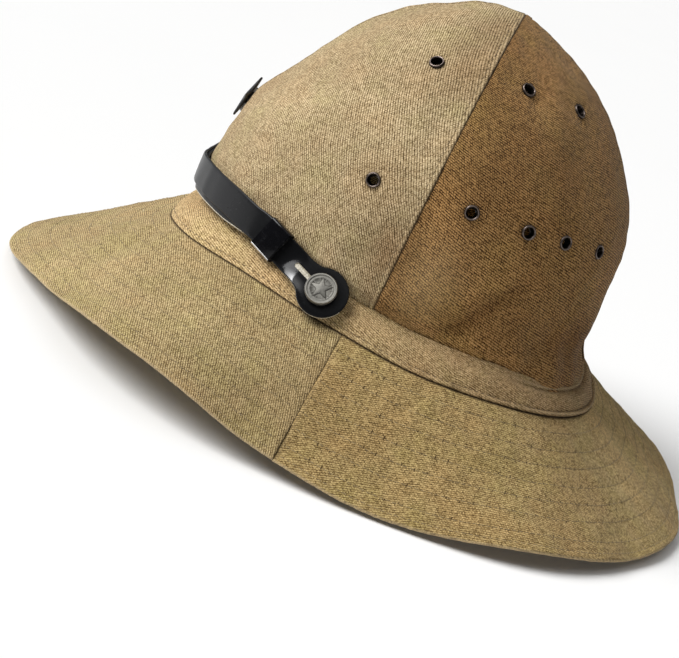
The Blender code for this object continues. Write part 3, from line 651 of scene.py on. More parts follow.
def cloth_piece(name, cloth, keep=None, closed=False, tip=None):
    """A closed wall of cloth between two grids, with walls round its edges and round its holes.

    keep says which cells of the grid are cloth, closed joins the last column to the first, and tip is
    a pair of points that the last row runs to.
    """
    rows, columns = cloth.outer.shape[:2]
    cells = columns if closed else columns - 1
    if keep is None:
        keep = np.ones((rows - 1, cells), bool)
    under = rows * columns
    index = np.arange(under).reshape(rows, columns)
    right = np.roll(index, -1, axis=1)[:, :cells]
    left = index[:, :cells]
    quads = np.stack([left[:-1], right[:-1], right[1:], left[1:]], axis=-1)
    faces = quads[keep].tolist() + (quads[keep][:, ::-1] + under).tolist()
    padded = np.zeros((rows + 1, cells + 2), bool)
    padded[1:-1, 1:-1] = keep
    if closed:
        padded[1:-1, 0], padded[1:-1, -1] = keep[:, -1], keep[:, 0]
    for (down, side), (a, b) in {(-1, 0): (0, 1), (0, 1): (1, 2), (1, 0): (2, 3), (0, -1): (3, 0)}.items():
        beside = padded[1 + down:rows + down, 1 + side:cells + 1 + side]
        border = keep & ~beside
        if tip is not None and down == 1:
            border[-1] = False
        for quad in quads[border]:
            start, end = int(quad[a]), int(quad[b])
            faces.append([end, start, start + under, end + under])
    vertices = np.concatenate([cloth.outer.reshape(-1, 3), cloth.inner.reshape(-1, 3)])
    both = [np.concatenate([layer.reshape(under, -1)] * 2) for layer in cloth[2:]]
    if tip is not None:
        top, top_under = 2 * under, 2 * under + 1
        last = index[-1].tolist()
        for a, b in zip(last, last[1:]):
            faces += [[a, b, top], [b + under, a + under, top_under]]
        faces.append([last[0], top, top_under, last[0] + under])
        faces.append([top, last[-1], last[-1] + under, top_under])
        vertices = np.concatenate([vertices, np.array(tip)])
        middle = index[-1, columns // 2]
        both = [np.concatenate([layer, layer[[middle, middle]]]) for layer in both]
    uv, stitch, dirt, rubbed, tone = both
    uv[under:2 * under, 1] += INNER_UV_SHIFT
    return mesh_piece(name, set_down(vertices), faces,
                      {"dirt": dirt[:, 0], "rubbed": rubbed[:, 0], "tone": tone[:, 0]},
                      {"cloth": uv, "stitch": stitch})


def patches(places, angle, level):
    """Painted light places above 0 and painted shade below, or swellings and dents, each with a middle and a
    spread both ways.
    """
    total = 0.0 * (angle + level)
    for turn, wide, height, tall, amount in places:
        total = total + amount * hump(angle, turn, wide) * hump(level, height, tall)
    return total


def grid_normals(points):
    """Outward directions over a grid whose rows go up and whose columns go round."""
    return unit(np.cross(np.gradient(points, axis=1), np.gradient(points, axis=0)))


def travelled(points, axis):
    """The distance gone along each row or column of a grid of points."""
    steps = np.linalg.norm(np.diff(points, axis=axis), axis=-1)
    start = np.zeros_like(np.take(steps, [0], axis=axis))
    return np.cumsum(np.concatenate([start, steps], axis=axis), axis=axis)


def spread_columns(surface, rows, start, end, middle_columns):
    """The angles of a grid whose columns keep their distance from the seam at each end.

    Gives the angles, the distance from the first seam and the whole width, one line for each row. Where
    the cloth is narrow, the columns by the seams draw together.
    """
    fine = np.linspace(start, end, 721)
    reach = travelled(surface(fine[None, :], np.asarray(rows)[:, None]), 1)
    width = reach[:, -1:]
    near = np.array(SEAM_STEPS)[None, :] * np.minimum(1.0, width / NARROW_CLOTH)
    share = np.linspace(0.0, 1.0, middle_columns + 2)[None, 1:-1]
    first, last = near[:, -1:], width - near[:, -1:]
    wanted = np.concatenate([near, first + (last - first) * share, width - near[:, ::-1]], axis=1)
    angles = np.array([np.interp(line, far, fine) for line, far in zip(wanted, reach)])
    return angles, wanted, width


def thread_row(points, normals, offset=0.0):
    """Stitches along a line of points, as (start, end, off) for each one."""
    gone = travelled(points, 0)
    count = int((gone[-1] - offset) / STITCH_PITCH)
    stitches = []
    for k in range(count):
        ends = [offset + STITCH_PITCH * (k + share) for share in (0.12, 0.88)]
        start, end = (np.array([np.interp(at, gone, points[:, axis]) for axis in range(3)]) for at in ends)
        off = np.array([np.interp(sum(ends) / 2, gone, normals[:, axis]) for axis in range(3)])
        stitches.append((start, end, unit(off)))
    return stitches


def stitch_piece(name, stitches, thread, lift=0.00014):
    """All the stitches of one seam as one piece, each a short bar that dips at both ends."""
    starts, ends, offs = (np.array(values) for values in zip(*stitches))
    sides = unit(np.cross(ends - starts, offs))
    corners = []
    for share, height, size in ((0.0, -0.9, 0.6), (0.22, 0.7, 1.0), (0.78, 0.7, 1.0), (1.0, -0.9, 0.6)):
        middle = starts + (ends - starts) * share + offs * (height * lift)
        for across, up in ((1, 0), (0, 1), (-1, 0), (0, -1)):
            corners.append(middle + (sides * across + offs * up) * (THREAD_RADIUS * size))
    vertices = np.stack(corners, axis=1)
    faces = []
    for k in range(len(starts)):
        first = 16 * k
        for ring in range(3):
            for i in range(4):
                a, b = first + 4 * ring + i, first + 4 * ring + (i + 1) % 4
                faces.append([a, a + 4, b + 4, b])
        faces.append([first, first + 1, first + 2, first + 3])
        faces.append([first + 15, first + 14, first + 13, first + 12])
    return dressed(mesh_piece(name, set_down(vertices.reshape(-1, 3)), faces, sharp_angle=70.0), [thread])


# Crown

def eyelet_frames():
    """Where each eyelet sits on the level hat: its name, angle, middle and outward direction."""
    frames = []
    for side, word in ((1, "left"), (-1, "right")):
        for number, place in enumerate(EYELET_ROWS, start=1):
            row = crown_row(place.height * CROWN_HEIGHT)
            turn = side * place.angle
            frames.append((f"eyelet_{word}_{number}", turn % 360.0, crown_point(turn, row),
                           crown_normal(turn, row)))
    return frames


EYELETS = eyelet_frames()
EYELET_CUT = EYELET_HOLE / 2 + EYELET_METAL + GAP / 2
EYELET_REACH = 0.01


def felled_edge(distance):
    """How far a turned and topstitched edge stands off the cloth, by the distance from the seam."""
    shoulder = np.sqrt(np.clip(1 - (1 - np.clip(distance / 0.0008, 0, 1)) ** 2, 0, 1))
    fold = 1 - smoothstep((distance - 0.0010) / 0.0016)
    under = 1 - smoothstep((distance - 0.0058) / 0.0030)
    return (0.00032 * shoulder * fold + 0.00020 * under - 0.00009 * hump(distance, 0.0021, 0.0004)
            - 0.00035 * (1 - shoulder))


def tucked_edge(distance):
    """How far the cloth that runs in under a felled edge drops or rises beside it."""
    return 0.00012 * (1 - smoothstep((distance - 0.004) / 0.003)) - 0.00050 * np.exp(-distance / 0.0006)


# Places on the cloth: angle and spread in degrees, height and spread in metres, and an amount. Dents
# below 0 and swellings above are in metres. Painted shade below 0 and painted light above are shares.
CROWN_DENTS = (
    (82.0, 6.0, 0.028, 0.010, -0.0009), (83.0, 3.6, 0.080, 0.014, -0.0007),
    (156.0, 8.0, 0.025, 0.007, -0.0009), (72.0, 8.0, 0.064, 0.012, 0.0005),
    (101.0, 5.0, 0.052, 0.014, 0.0006), (128.0, 9.0, 0.060, 0.012, -0.0007),
    (118.0, 7.0, 0.104, 0.012, -0.0006), (206.0, 7.0, 0.030, 0.010, -0.0009),
    (238.0, 8.0, 0.062, 0.013, -0.0008), (281.0, 6.0, 0.034, 0.012, -0.0009),
    (300.0, 9.0, 0.075, 0.014, 0.0006), (333.0, 8.0, 0.048, 0.011, -0.0006),
    (33.0, 9.0, 0.078, 0.014, -0.0006),
)
CROWN_LIGHT_AND_SHADE = (
    (76.0, 24.0, 0.119, 0.022, -0.30), (87.0, 7.0, 0.034, 0.014, -0.32), (68.0, 9.0, 0.055, 0.014, 0.06),
    (101.0, 7.0, 0.034, 0.016, 0.30), (97.0, 5.0, 0.056, 0.012, 0.18), (96.0, 4.0, 0.018, 0.004, -0.22),
    (107.0, 9.0, 0.094, 0.018, -0.16), (134.0, 10.0, 0.078, 0.018, -0.26),
    (160.0, 12.0, 0.027, 0.011, -0.50), (122.0, 22.0, 0.014, 0.005, 0.25), (82.0, 7.0, 0.072, 0.014, 0.16),
    (121.0, 14.0, 0.114, 0.014, 0.16), (215.0, 16.0, 0.060, 0.020, -0.15),
    (262.0, 9.0, 0.035, 0.018, 0.25), (300.0, 20.0, 0.100, 0.025, -0.12), (330.0, 20.0, 0.045, 0.016, 0.08),
)
# Painted light on the back left panel beside the side seam
PAINTED_LIGHT_PATCH = (101.0, 8.0, 0.031, 0.018, 0.24)
CREASE_FOOT_ANGLE = 113.5
CREASE_FOOT_HEIGHT = 0.0157
CREASE_DEPTH = 0.0012
RIDGE_HEIGHT = 0.0006

Panel = namedtuple("Panel", "node start end felled_first felled_last finish seed")
PANELS = (
    Panel("crown_front_left", 0.0, 90.0, True, True, FRONT_TWILL, 3),
    Panel("crown_back_left", 90.0, 180.0, False, True, BACK_TWILL, 5),
    Panel("crown_back_right", 180.0, 270.0, False, False, BACK_TWILL, 8),
    Panel("crown_front_right", 270.0, 360.0, True, False, FRONT_TWILL, 13),
)


def seam_marks(edges, climb, fine, seed):
    """The lift of a panel along its two seams, with grime and painted shadow at the seam line and wear and a
    painted highlight on the felled ridge.
    """
    gather = ripple(climb, climb * 0.0, seed + 31, 0.0045, 0.011, 8)
    lift, dirt, rubbed = np.zeros((3, *climb.shape))
    for distance, felled, _ in edges:
        profile = felled_edge(distance) if felled else tucked_edge(distance)
        lift += fine * (profile + 0.00009 * gather * np.exp(-distance / 0.005))
        # A dark line at each seam: grime and painted shadow under the folded edge
        dirt += 0.95 * np.exp(-(distance / (0.00034 if felled else 0.00055)) ** 2)
        if felled:
            # The felled ridge: lighter with wear and a painted highlight, with painted shade in its stitch
            # groove
            rubbed += (0.10 + 0.14 * gather) * hump(distance, 0.0010, 0.0006)
            dirt += (0.10 - 0.06 * gather) * hump(distance, 0.0021, 0.0004)
    return lift, dirt, rubbed


def crown_relief(angles, height, across, up, calm, seed):
    """How far the crown's cloth swells or sinks, and its painted light and shade, with a little tone that
    differs at random.
    """
    lift = 0.00042 * ripple(across, up, seed, 0.022, 0.060) * (0.35 + 0.65 * calm)
    lift += 0.00012 * ripple(across, up, seed + 7, 0.006, 0.014)
    lift += 0.00055 * hump(up, 0.021, 0.010) * ripple(across, up * 0.35, seed + 17, 0.012, 0.026)

    over_band = height - BAND_HEIGHT
    at_foot = smoothstep(over_band / 0.0010) * (1 - smoothstep((over_band - 0.001) / 0.009))
    at_back = smoothstep((folded(angles) - 132) / 18)
    lift += (0.0014 - 0.0006 * at_back) * (1 - smoothstep((70 - folded(angles)) / 20)) * at_foot

    climb = height - CREASE_FOOT_HEIGHT
    crease_angle = CREASE_FOOT_ANGLE + 330.0 * climb + 3700.0 * climb ** 2
    in_reach = smoothstep((height - 0.012) / 0.006) * (1 - smoothstep((height - 0.034) / 0.020))
    crease = in_reach * hump(angles, crease_angle, 3.2)
    ridge = in_reach * hump(angles, crease_angle - 6.0, 3.5)
    lift += patches(CROWN_DENTS, angles, height) - CREASE_DEPTH * crease + RIDGE_HEIGHT * ridge
    # Painted light and shade in patches, a little random tone, painted light on the ridge and painted shade
    # in the crease
    tone = patches(CROWN_LIGHT_AND_SHADE, angles, height) + 0.05 * ripple(across, up, seed + 3, 0.02, 0.06)
    return lift, tone + 0.14 * ridge - 0.34 * crease


def pierce(panel, base, outer, inner, dirt):
    """Opens a panel's grids at each eyelet, in place, and says which of its cells are still cloth."""
    keep = np.ones((base.shape[0] - 1, base.shape[1] - 1), bool)
    cell_middles = (base[:-1, :-1] + base[1:, 1:]) / 2
    for _, turn, point, normal in (eyelet for eyelet in EYELETS if panel.start <= eyelet[1] < panel.end):
        offset = base - point
        height = offset @ normal
        flat = offset - height[..., None] * normal
        radius = np.linalg.norm(flat, axis=-1)
        near = np.abs(height) < EYELET_REACH
        spin = np.arctan2(flat @ np.cross(normal, [0.0, 0.0, 1.0]), flat[..., 2])
        dish = 0.00045 * hump(radius, 0.0, 0.0055) - 0.00010 * np.cos(spin * 5 + turn) * hump(
            radius, 0.0050, 0.0020)
        # A painted contact shadow in a ring just outside each eyelet's flange
        dirt += 0.30 * hump(radius, 0.0033, 0.0005) * near
        middle = cell_middles - point
        middle_height = middle @ normal
        gone = np.linalg.norm(middle - middle_height[..., None] * normal, axis=-1) < EYELET_CUT
        gone &= np.abs(middle_height) < EYELET_REACH
        keep &= ~gone
        ring = np.zeros(radius.shape, bool)
        for down in (0, 1):
            for right in (0, 1):
                ring[down:len(gone) + down, right:gone.shape[1] + right] |= gone
        snap = flat * (EYELET_CUT / np.maximum(radius, 1e-6) - 1)[..., None] * ring[..., None]
        shift = snap - normal * (dish * near)[..., None]
        outer += shift
        inner += shift
    return keep


def make_panel(panel):
    """One panel of the crown, and the stitches beside its felled seams."""
    middle_angle = (panel.start + panel.end) / 2
    climb = travelled(crown_point(middle_angle, FINE_ROWS), 0)
    climbs = np.linspace(0.0, climb[-1], round(climb[-1] / CLOTH_STEP) + 1)[:-1]
    rows = np.interp(climbs, climb, FINE_ROWS)
    angles, from_first, width = spread_columns(crown_point, rows, panel.start, panel.end,
                                               PANEL_MIDDLE_COLUMNS)
    row_grid = np.broadcast_to(rows[:, None], angles.shape)
    up = np.broadcast_to(climbs[:, None], angles.shape)
    base = crown_point(angles, row_grid)
    normals = crown_normal(angles, np.maximum(row_grid, 0.06))
    fine = np.minimum(1.0, width / NARROW_CLOTH)
    from_last = width - from_first
    edges = ((from_first, panel.felled_first, -1), (from_last, panel.felled_last, 1))
    across = from_first - width / 2
    height = base[..., 2] - seam_rise(angles)
    calm = smoothstep(np.minimum(from_first, from_last) / 0.012)

    lift, dirt, rubbed = seam_marks(edges, up, fine, panel.seed)
    swell, tone = crown_relief(angles, height, across, up, calm, panel.seed)
    # Painted light beside the side seam on the back left panel
    rubbed += patches([PAINTED_LIGHT_PATCH], angles, height) * (angles > 90)
    outer = base + normals * (lift + swell)[..., None]
    inner = base - normals * CROWN_CLOTH
    inner[0, :, 2] = base[0, :, 2]
    overhang = unit(np.gradient(base, axis=1))
    for distance, felled, way in edges:
        reach = (0.00035 if felled else -0.00005) * np.exp(-distance / 0.0005) * fine * way
        outer += overhang * reach[..., None]
    keep = pierce(panel, base, outer, inner, dirt)

    turn = math.radians(middle_angle)
    tip = np.array([math.sin(turn) * TIP_RADIUS, APEX_SETBACK - math.cos(turn) * TIP_RADIUS, CROWN_HEIGHT])
    tip_ends = tip + np.array([[0, 0, 0.0002], [0, 0, -CROWN_CLOTH]])
    uv = np.stack([across, up], axis=-1)
    stitch = np.stack([up / STITCH_PITCH, np.zeros(angles.shape) + 0.5], axis=-1)
    cloth = Cloth(outer, inner, uv, stitch, np.clip(dirt, 0, 1), np.clip(rubbed, 0, 1), tone)
    piece = cloth_piece(panel.node + "_cloth", cloth, keep, tip=tip_ends)
    dressed(piece, [panel.finish], [panel.node])
    stitches = []
    surface = grid_normals(outer)
    sewn = slice(14, len(rows) - 10)
    for (_, felled, _), at in zip(edges, (SEAM_STITCH_COLUMN, angles.shape[1] - 1 - SEAM_STITCH_COLUMN)):
        if felled:
            stitches += thread_row(outer[sewn, at], surface[sewn, at])
    return piece, stitches


# Band

BAND_JOINT_ANGLE = 117.0
BAND_PROFILE_STEPS = 44
BAND_COLUMN_STEP = 0.0012
BAND_STITCH_LINE = 0.0024
PIPING_ROLL = 0.0019


def band_relief(angle, around, distance, at_back, joint):
    """How far the band's face stands out, by the angle and by the distance up it."""
    past_side = smoothstep((folded(angle) - 60) / 40)
    top = BAND_SLOPE - distance
    piping = PIPING * (0.10 + 0.40 * past_side + 0.45 * at_back + 0.35 * joint)
    half_roll = PIPING_ROLL / 2
    rolled = piping * np.sqrt(np.clip(1 - ((distance - half_roll) / half_roll) ** 2, 0, 1))
    groove = hump(distance, BAND_STITCH_LINE, 0.0004) * (0.00005 + 0.00017 * past_side)
    melted = -(BAND_CLOTH - 0.0004) * smoothstep((distance - 0.0078) / (BAND_SLOPE - 0.0078))
    ridge = 0.00055 * hump(top, 0.0016, 0.0007) - 0.00055 * hump(top, 0.0030, 0.0009)
    swell = 0.00022 * ripple(around, distance * 2, 21, 0.010, 0.032)
    pillow = 0.00030 * hump(distance, 0.0060, 0.0034)
    tucks = 0.00012 * ripple(around, distance * 0.2, 44, 0.0045, 0.009, 10) * hump(distance, 0.0030, 0.0030)
    puff = 0.0013 * hump(folded(angle), 6.0, 20.0) * hump(distance, 0.0065, 0.0045)
    face = smoothstep((distance - 0.0012) / 0.0008)
    return rolled + face * (0.00016 + pillow + melted + at_back * ridge + swell + tucks + puff) - groove


def make_band():
    """The sewn strip round the foot of the crown, piped below and rolled above at the back."""
    far = np.concatenate([np.linspace(0.0, 0.0022, 12), np.linspace(0.0026, BAND_SLOPE, BAND_PROFILE_STEPS)])
    fine = np.linspace(0.0, 360.0, 2881)
    length = travelled(head_outline(fine), 0)
    count = round(length[-1] / BAND_COLUMN_STEP)
    around = (np.arange(count) / count * length[-1])[None, :]
    angle = np.interp(around, length, fine)
    distance = far[:, None]
    share = distance / BAND_SLOPE
    top = BAND_SLOPE - distance
    at_back = smoothstep((folded(angle) - 126) / 24)
    joint = hump(angle, BAND_JOINT_ANGLE, 1.3)
    height = GAP + (BAND_HEIGHT - GAP - 0.0022 * at_back) * share
    half_length, half_width = (size / 2 - BAND_LEAN * share for size in (HEAD_LENGTH, HEAD_WIDTH))
    base = raised(outline(angle, half_length, half_length, half_width, HEAD_SQUARENESS),
                  height + seam_rise(angle) * (1 - height / CROWN_HEIGHT))
    level = np.broadcast_to(outward(angle), base.shape)
    off = level * math.cos(BAND_LEAN_ANGLE) + np.array([0.0, 0.0, math.sin(BAND_LEAN_ANGLE)])
    outer = base + off * band_relief(angle, around, distance, at_back, joint)[..., None]
    inner = base - level * BAND_REACH
    # Painted shade in the gap above the brim, at the joint, and at the back in the stitch line and under the
    # top roll
    dirt = (0.85 * (1 - smoothstep(distance / 0.00035)) + 0.5 * joint * hump(distance, 0.0012, 0.0012)
            + at_back * (0.30 * hump(distance, 0.0023, 0.0004) + 0.35 * hump(top, 0.0030, 0.0007)))
    # Painted highlights on the piping and on the top roll at the back
    rubbed = (0.40 * hump(distance, 0.0011, 0.0006) * (0.2 + 0.8 * at_back)
              + 0.40 * at_back * hump(top, 0.0016, 0.0006))
    # Painted light at the front and painted shade towards the back
    tone = 0.14 - 0.43 * smoothstep((folded(angle) - 45) / 110) + 0.0 * distance
    uv = np.stack(np.broadcast_arrays(around, travelled(outer, 0)), axis=-1)
    stitch = np.stack(np.broadcast_arrays(around / STITCH_PITCH, 0.5 + 0 * distance), axis=-1)
    dirt, rubbed = (np.clip(np.broadcast_to(layer, tone.shape), 0, 1) for layer in (dirt, rubbed))
    piece = cloth_piece("band_cloth", Cloth(outer, inner, uv, stitch, dirt, rubbed, tone), closed=True)
    dressed(piece, [BAND_TWILL], ["band"])
    stitched = int(np.argmin(np.abs(far - BAND_STITCH_LINE)))
    loop = np.append(np.arange(count), 0)
    return piece, thread_row(outer[stitched][loop], off[stitched][loop])


# Brim

# Painted light and shade on the brim, laid out as on the crown but with heights as shares of the brim's width
BRIM_LIGHT_AND_SHADE = (
    (84.0, 14.0, 0.70, 0.50, -0.13), (66.0, 18.0, 0.90, 0.35, -0.08), (126.0, 22.0, 0.55, 0.60, -0.08),
    (17.0, 12.0, 0.90, 0.35, 0.10), (300.0, 24.0, 0.80, 0.40, -0.14), (235.0, 20.0, 0.40, 0.30, 0.10),
)
HEM_WIDTH = 0.0034
RIM_ROUNDING = 0.0010


def brim_crease(angles, share):
    """The fold from the band outwards beside the front: a dip, and a swelling next to it."""
    dip = -0.0011 * hump(angles, 24.0 + 9.0 * share, 2.6) * smoothstep(share / 0.12) * (
        1 - smoothstep((share - 0.35) / 0.45))
    return dip + 0.0006 * hump(angles, 30.0 + 9.0 * share, 4.5) * (1 - smoothstep((share - 0.3) / 0.4))


def brim_channels(share, reach):
    """Where each place lies among the quilted channels, its distance from a line, and if that is sewn."""
    channel = share * BRIM_CHANNELS
    off_channel = np.abs(channel - np.round(channel)) / BRIM_CHANNELS * reach
    in_channels = (np.round(channel) > 0) & (np.round(channel) < BRIM_CHANNELS)
    return channel, off_channel, in_channels


def brim_threads(shares, top, under, up):
    """The stitches of the quilting and the hem, above and below the brim."""
    lines = [int(np.argmin(np.abs(shares - k / BRIM_CHANNELS))) for k in range(1, BRIM_CHANNELS)]
    lines.append(int(np.argmin(np.abs((1 - shares) * BRIM_WIDTH - HEM_WIDTH))))
    inside = slice(6, up.shape[1] - 6)
    stitches = []
    for line in lines:
        stitches += thread_row(top[line + 1, inside], up[line, inside])
        stitches += thread_row(under[line + 1, inside], -up[line, inside])
    return stitches


def make_brim(node, start, end, finish, seed):
    """One piece of the brim: a collar in under the band, stitched channels and a turned rim."""
    steps = round((BRIM_WIDTH - RIM_STEPS[0]) / CLOTH_STEP)
    shares = np.concatenate([np.linspace(0.0, 1 - RIM_STEPS[0] / BRIM_WIDTH, steps + 1),
                             1 - np.array(RIM_STEPS[1:]) / BRIM_WIDTH])
    edge = np.linalg.norm(np.diff(brim_point(np.linspace(start, end, 400), 0.6), axis=0), axis=-1).sum()
    columns = round(edge / BRIM_COLUMN_STEP)
    angles, around, width = spread_columns(brim_point, shares, start, end, columns)
    share = np.broadcast_to(shares[:, None], angles.shape)
    top_base = brim_point(angles, share)
    droop = np.radians(brim_value("droop", angles))[..., None]
    up = outward(angles) * np.sin(droop) + np.array([0.0, 0.0, 1.0]) * np.cos(droop)
    reach = brim_value("width", angles) * BRIM_WIDTH
    from_rim = (1 - share) * reach
    seam = np.minimum(around, width - around)
    radial = share * reach
    to_back = smoothstep((folded(angles) - 95) / 50)
    channel, off_channel, in_channels = brim_channels(share, reach)

    quilt = -(0.00004 + 0.00008 * to_back) * np.exp(-(off_channel / 0.0009) ** 2) * in_channels
    hem = -0.00026 * hump(from_rim, HEM_WIDTH, 0.0006)
    pressed = (0.00012 * hump(seam, 0.0022, 0.0016) - 0.00022 * np.exp(-(seam / 0.0004) ** 2)
               + 0.00008 * hump(seam, 0.0075, 0.0022))
    plan = top_base[..., 0], top_base[..., 1]
    wrinkle = (0.00016 * ripple(*plan, seed, 0.007, 0.016)
               + 0.00030 * ripple(*plan, seed + 5, 0.020, 0.045) * smoothstep(radial / 0.01))
    crease = brim_crease(angles, share)
    wave = 0.0011 * (1 + ripple(around, around * 0.0, seed + 9, 0.060, 0.110, 5)) * share ** 2
    top_lift = quilt + hem + pressed + wrinkle + crease
    fade = np.clip(from_rim / RIM_ROUNDING, 0, 1)
    half = BRIM_CLOTH / 2 * (1 - 0.22 * smoothstep((0.006 - from_rim) / 0.006))
    half = half * np.sqrt(np.clip(1 - (1 - fade) ** 2, 0, 1))
    middle = top_base - up * (BRIM_CLOTH / 2) + up * (wave + (wrinkle + crease) * fade)[..., None]
    fray = 0.00010 * ripple(around * 3, around * 0, seed + 2, 0.0012, 0.004, 12) * (1 - fade)
    middle = middle + unit(np.gradient(top_base, axis=0)) * fray[..., None]
    top = middle + up * (half + (top_lift - wrinkle - crease) * fade)[..., None]
    under = middle - up * (half + (quilt * 0.8 + hem) * fade)[..., None]

    collar_angles = angles[:1]
    collar = raised(head_outline(collar_angles, COLLAR), seam_rise(collar_angles))
    top = np.concatenate([collar, top])
    under = np.concatenate([raised(collar, -BRIM_CLOTH), under])
    top[1] = raised(head_outline(angles[0]), seam_rise(angles[0]))

    # Painted shade in the gap at the band, in the seam, and faintly in the quilted channels at the back
    dirt = (0.85 * (1 - smoothstep((radial - 0.0002) / 0.0007)) + 0.60 * np.exp(-(seam / 0.00020) ** 2)
            + 0.06 * to_back * np.exp(-(off_channel / 0.0004) ** 2) * in_channels)
    # Lighter at the rim with fraying wear, and beside the seam on the back piece as a painted highlight
    rubbed = 0.70 * (1 - smoothstep(from_rim / 0.0009)) + (0.16 if start > 80 else 0.0) * hump(
        seam, 0.0010, 0.0006)
    # Painted light and shade in patches, a little random tone, and painted light at the back where the crown
    # shades the brim
    tone = (patches(BRIM_LIGHT_AND_SHADE, angles, share) + 0.05 * ripple(*plan, seed + 11, 0.025, 0.07)
            + 0.50 * smoothstep((folded(angles) - 148) / 24) * (1 - 0.6 * smoothstep((share - 0.5) / 0.5)))
    uv = (head_outline(angles) + outward(angles) * radial[..., None])[..., :2]
    stitch = np.stack([(around - SEAM_STEPS[6]) / (2 * STITCH_PITCH), np.where(in_channels, channel, 0.5)],
                      axis=-1)
    layers = (np.concatenate([layer[:1], layer])
              for layer in (uv, stitch, np.clip(dirt, 0, 1), np.clip(rubbed, 0, 1), tone))
    piece = cloth_piece(node + "_cloth", Cloth(under, top, *layers))
    dressed(piece, [finish], [node])
    return piece, brim_threads(shares, top, under, up)


# Chin strap

def strap_height(angle):
    return CROWN_HEIGHT * smooth(column(STRAP_ROWS, "angle"), column(STRAP_ROWS, "height"),
                                 folded(angle), flat_ends=True)


def seat_point(angle, height):
    bulge = CROWN_ROWS[0].height * CROWN_HEIGHT
    crown = crown_point(angle, crown_row(max(height, bulge)))
    if height >= bulge:
        return Vector(crown)
    foot = head_outline(angle, -STRAP_FLARE)
    share = ((bulge - height) / bulge) ** 2
    level = Vector(crown).lerp(Vector(foot), share)
    level.z = height + float(seam_rise(angle)) * (1 - height / CROWN_HEIGHT)
    return level


def strap_line(angle, climb=0.0):
    return seat_point(angle, float(strap_height(angle)) + climb)


def strap_frame(angle):
    reach = STRAP_WIDTH * 0.4
    along = (strap_line(angle + 0.5) - strap_line(angle - 0.5)).normalized()
    off = along.cross(strap_line(angle, reach) - strap_line(angle, -reach)).normalized()
    return strap_line(angle), along, off.cross(along), off


def tab_half_width(distance):
    """Half the strap's width at a distance from the button, positive towards the front."""
    distance += TAB_OFFSET
    radius = TAB_DIAMETER / 2
    bend, neck = radius * TAB_BEND, radius * TAB_NECK
    if distance < bend:
        return max(math.sqrt(max(radius ** 2 - distance ** 2, 0.0)), radius * 0.03)
    edge = math.sqrt(radius ** 2 - bend ** 2)
    if distance < neck:
        return edge + (NECK_WIDTH / 2 - edge) * math.sin((distance - bend) / (neck - bend) * math.pi / 2)
    return NECK_WIDTH / 2 + (STRAP_WIDTH / 2 - NECK_WIDTH / 2) * float(smoothstep((distance - neck) / radius))


DEGREE = (strap_line(BUTTON_ANGLE + 5) - strap_line(BUTTON_ANGLE - 5)).length / 10
TAB_END = BUTTON_ANGLE + (TAB_OFFSET + TAB_DIAMETER / 2) / DEGREE
KEEPER_END = KEEPER_ANGLE + KEEPER_LENGTH / 2 / DEGREE
FLATS = [(strap_frame(side * place), min(side * start, side * end), max(side * start, side * end))
         for side in (1, -1)
         for place, start, end in ((KEEPER_ANGLE, -KEEPER_LENGTH / 2 - GAP, KEEPER_LENGTH / 2 + GAP),
                                   (BUTTON_ANGLE, -TAB_DIAMETER / 2, TAB_OFFSET + TAB_DIAMETER / 2))]


def straightened(angle):
    """The strap's frame at an angle, brought into line with a keeper or a tab that is near."""
    place = strap_frame(angle)
    for straight, start, end in FLATS:
        distance = (place[0] - straight[0]).dot(straight[1])
        beyond = max(distance - end, start - distance, 0.0)
        if (place[0] - straight[0]).length < STRAP_WIDTH * 2:
            share = 1 - float(smoothstep(beyond / STRAP_BLEND))
            level = (straight[0] + straight[1] * distance, *straight[1:])
            place = tuple(a.lerp(b, share) for a, b in zip(place, level))
    return (place[0], *(v.normalized() for v in place[1:]))


def rest_vector(vector):
    return Vector(turned_down(np.array(vector)))


def rest_point(point):
    return Vector(set_down(np.array(point)))


def node_tree(node):
    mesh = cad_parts[node].data
    return BVHTree.FromPolygons([v.co for v in mesh.vertices], [list(p.vertices) for p in mesh.polygons])


def strap_lift(tree, angle):
    """How far the inner face of a CAD strap stands off its seat at an angle, or None past its end."""
    middle, _, across, off = straightened(angle)
    reach = 0.02
    heights = []
    for share in (-0.3, 0.3):
        start = rest_point(middle + across * (STRAP_WIDTH * share) + off * reach)
        distance = tree.ray_cast(start, rest_vector(-off), 2 * reach)[3]
        if distance is not None:
            heights.append(reach - distance - STRAP_LEATHER)
    return sum(heights) / len(heights) if heights else None


EDGE_STEPS = (0.0, 0.00006, 0.00016, 0.00032, 0.00055)
EDGE_ROUNDING = EDGE_STEPS[-1]
RAW_COLUMNS = 4
SLIP = 0.0027


def strap_stations(tree, side):
    """The angles of a strap's rows on its own side, and how far it lifts off the crown at its knots."""
    knots = list(np.arange(-math.floor(KEEPER_END), KEEPER_ANGLE, 3.0)) + list(
        np.linspace(KEEPER_ANGLE, TAB_END - 1.0, 12))
    knots = [(own, strap_lift(tree, own * side)) for own in knots]
    tip = TAB_END - BUTTON_ANGLE
    owns = list(np.arange(-KEEPER_END, BUTTON_ANGLE, 0.75)) + [
        BUTTON_ANGLE + tip * math.sin(math.pi / 2 * i / 26) for i in range(27)]
    return owns, [(own, lift) for own, lift in knots if lift is not None]


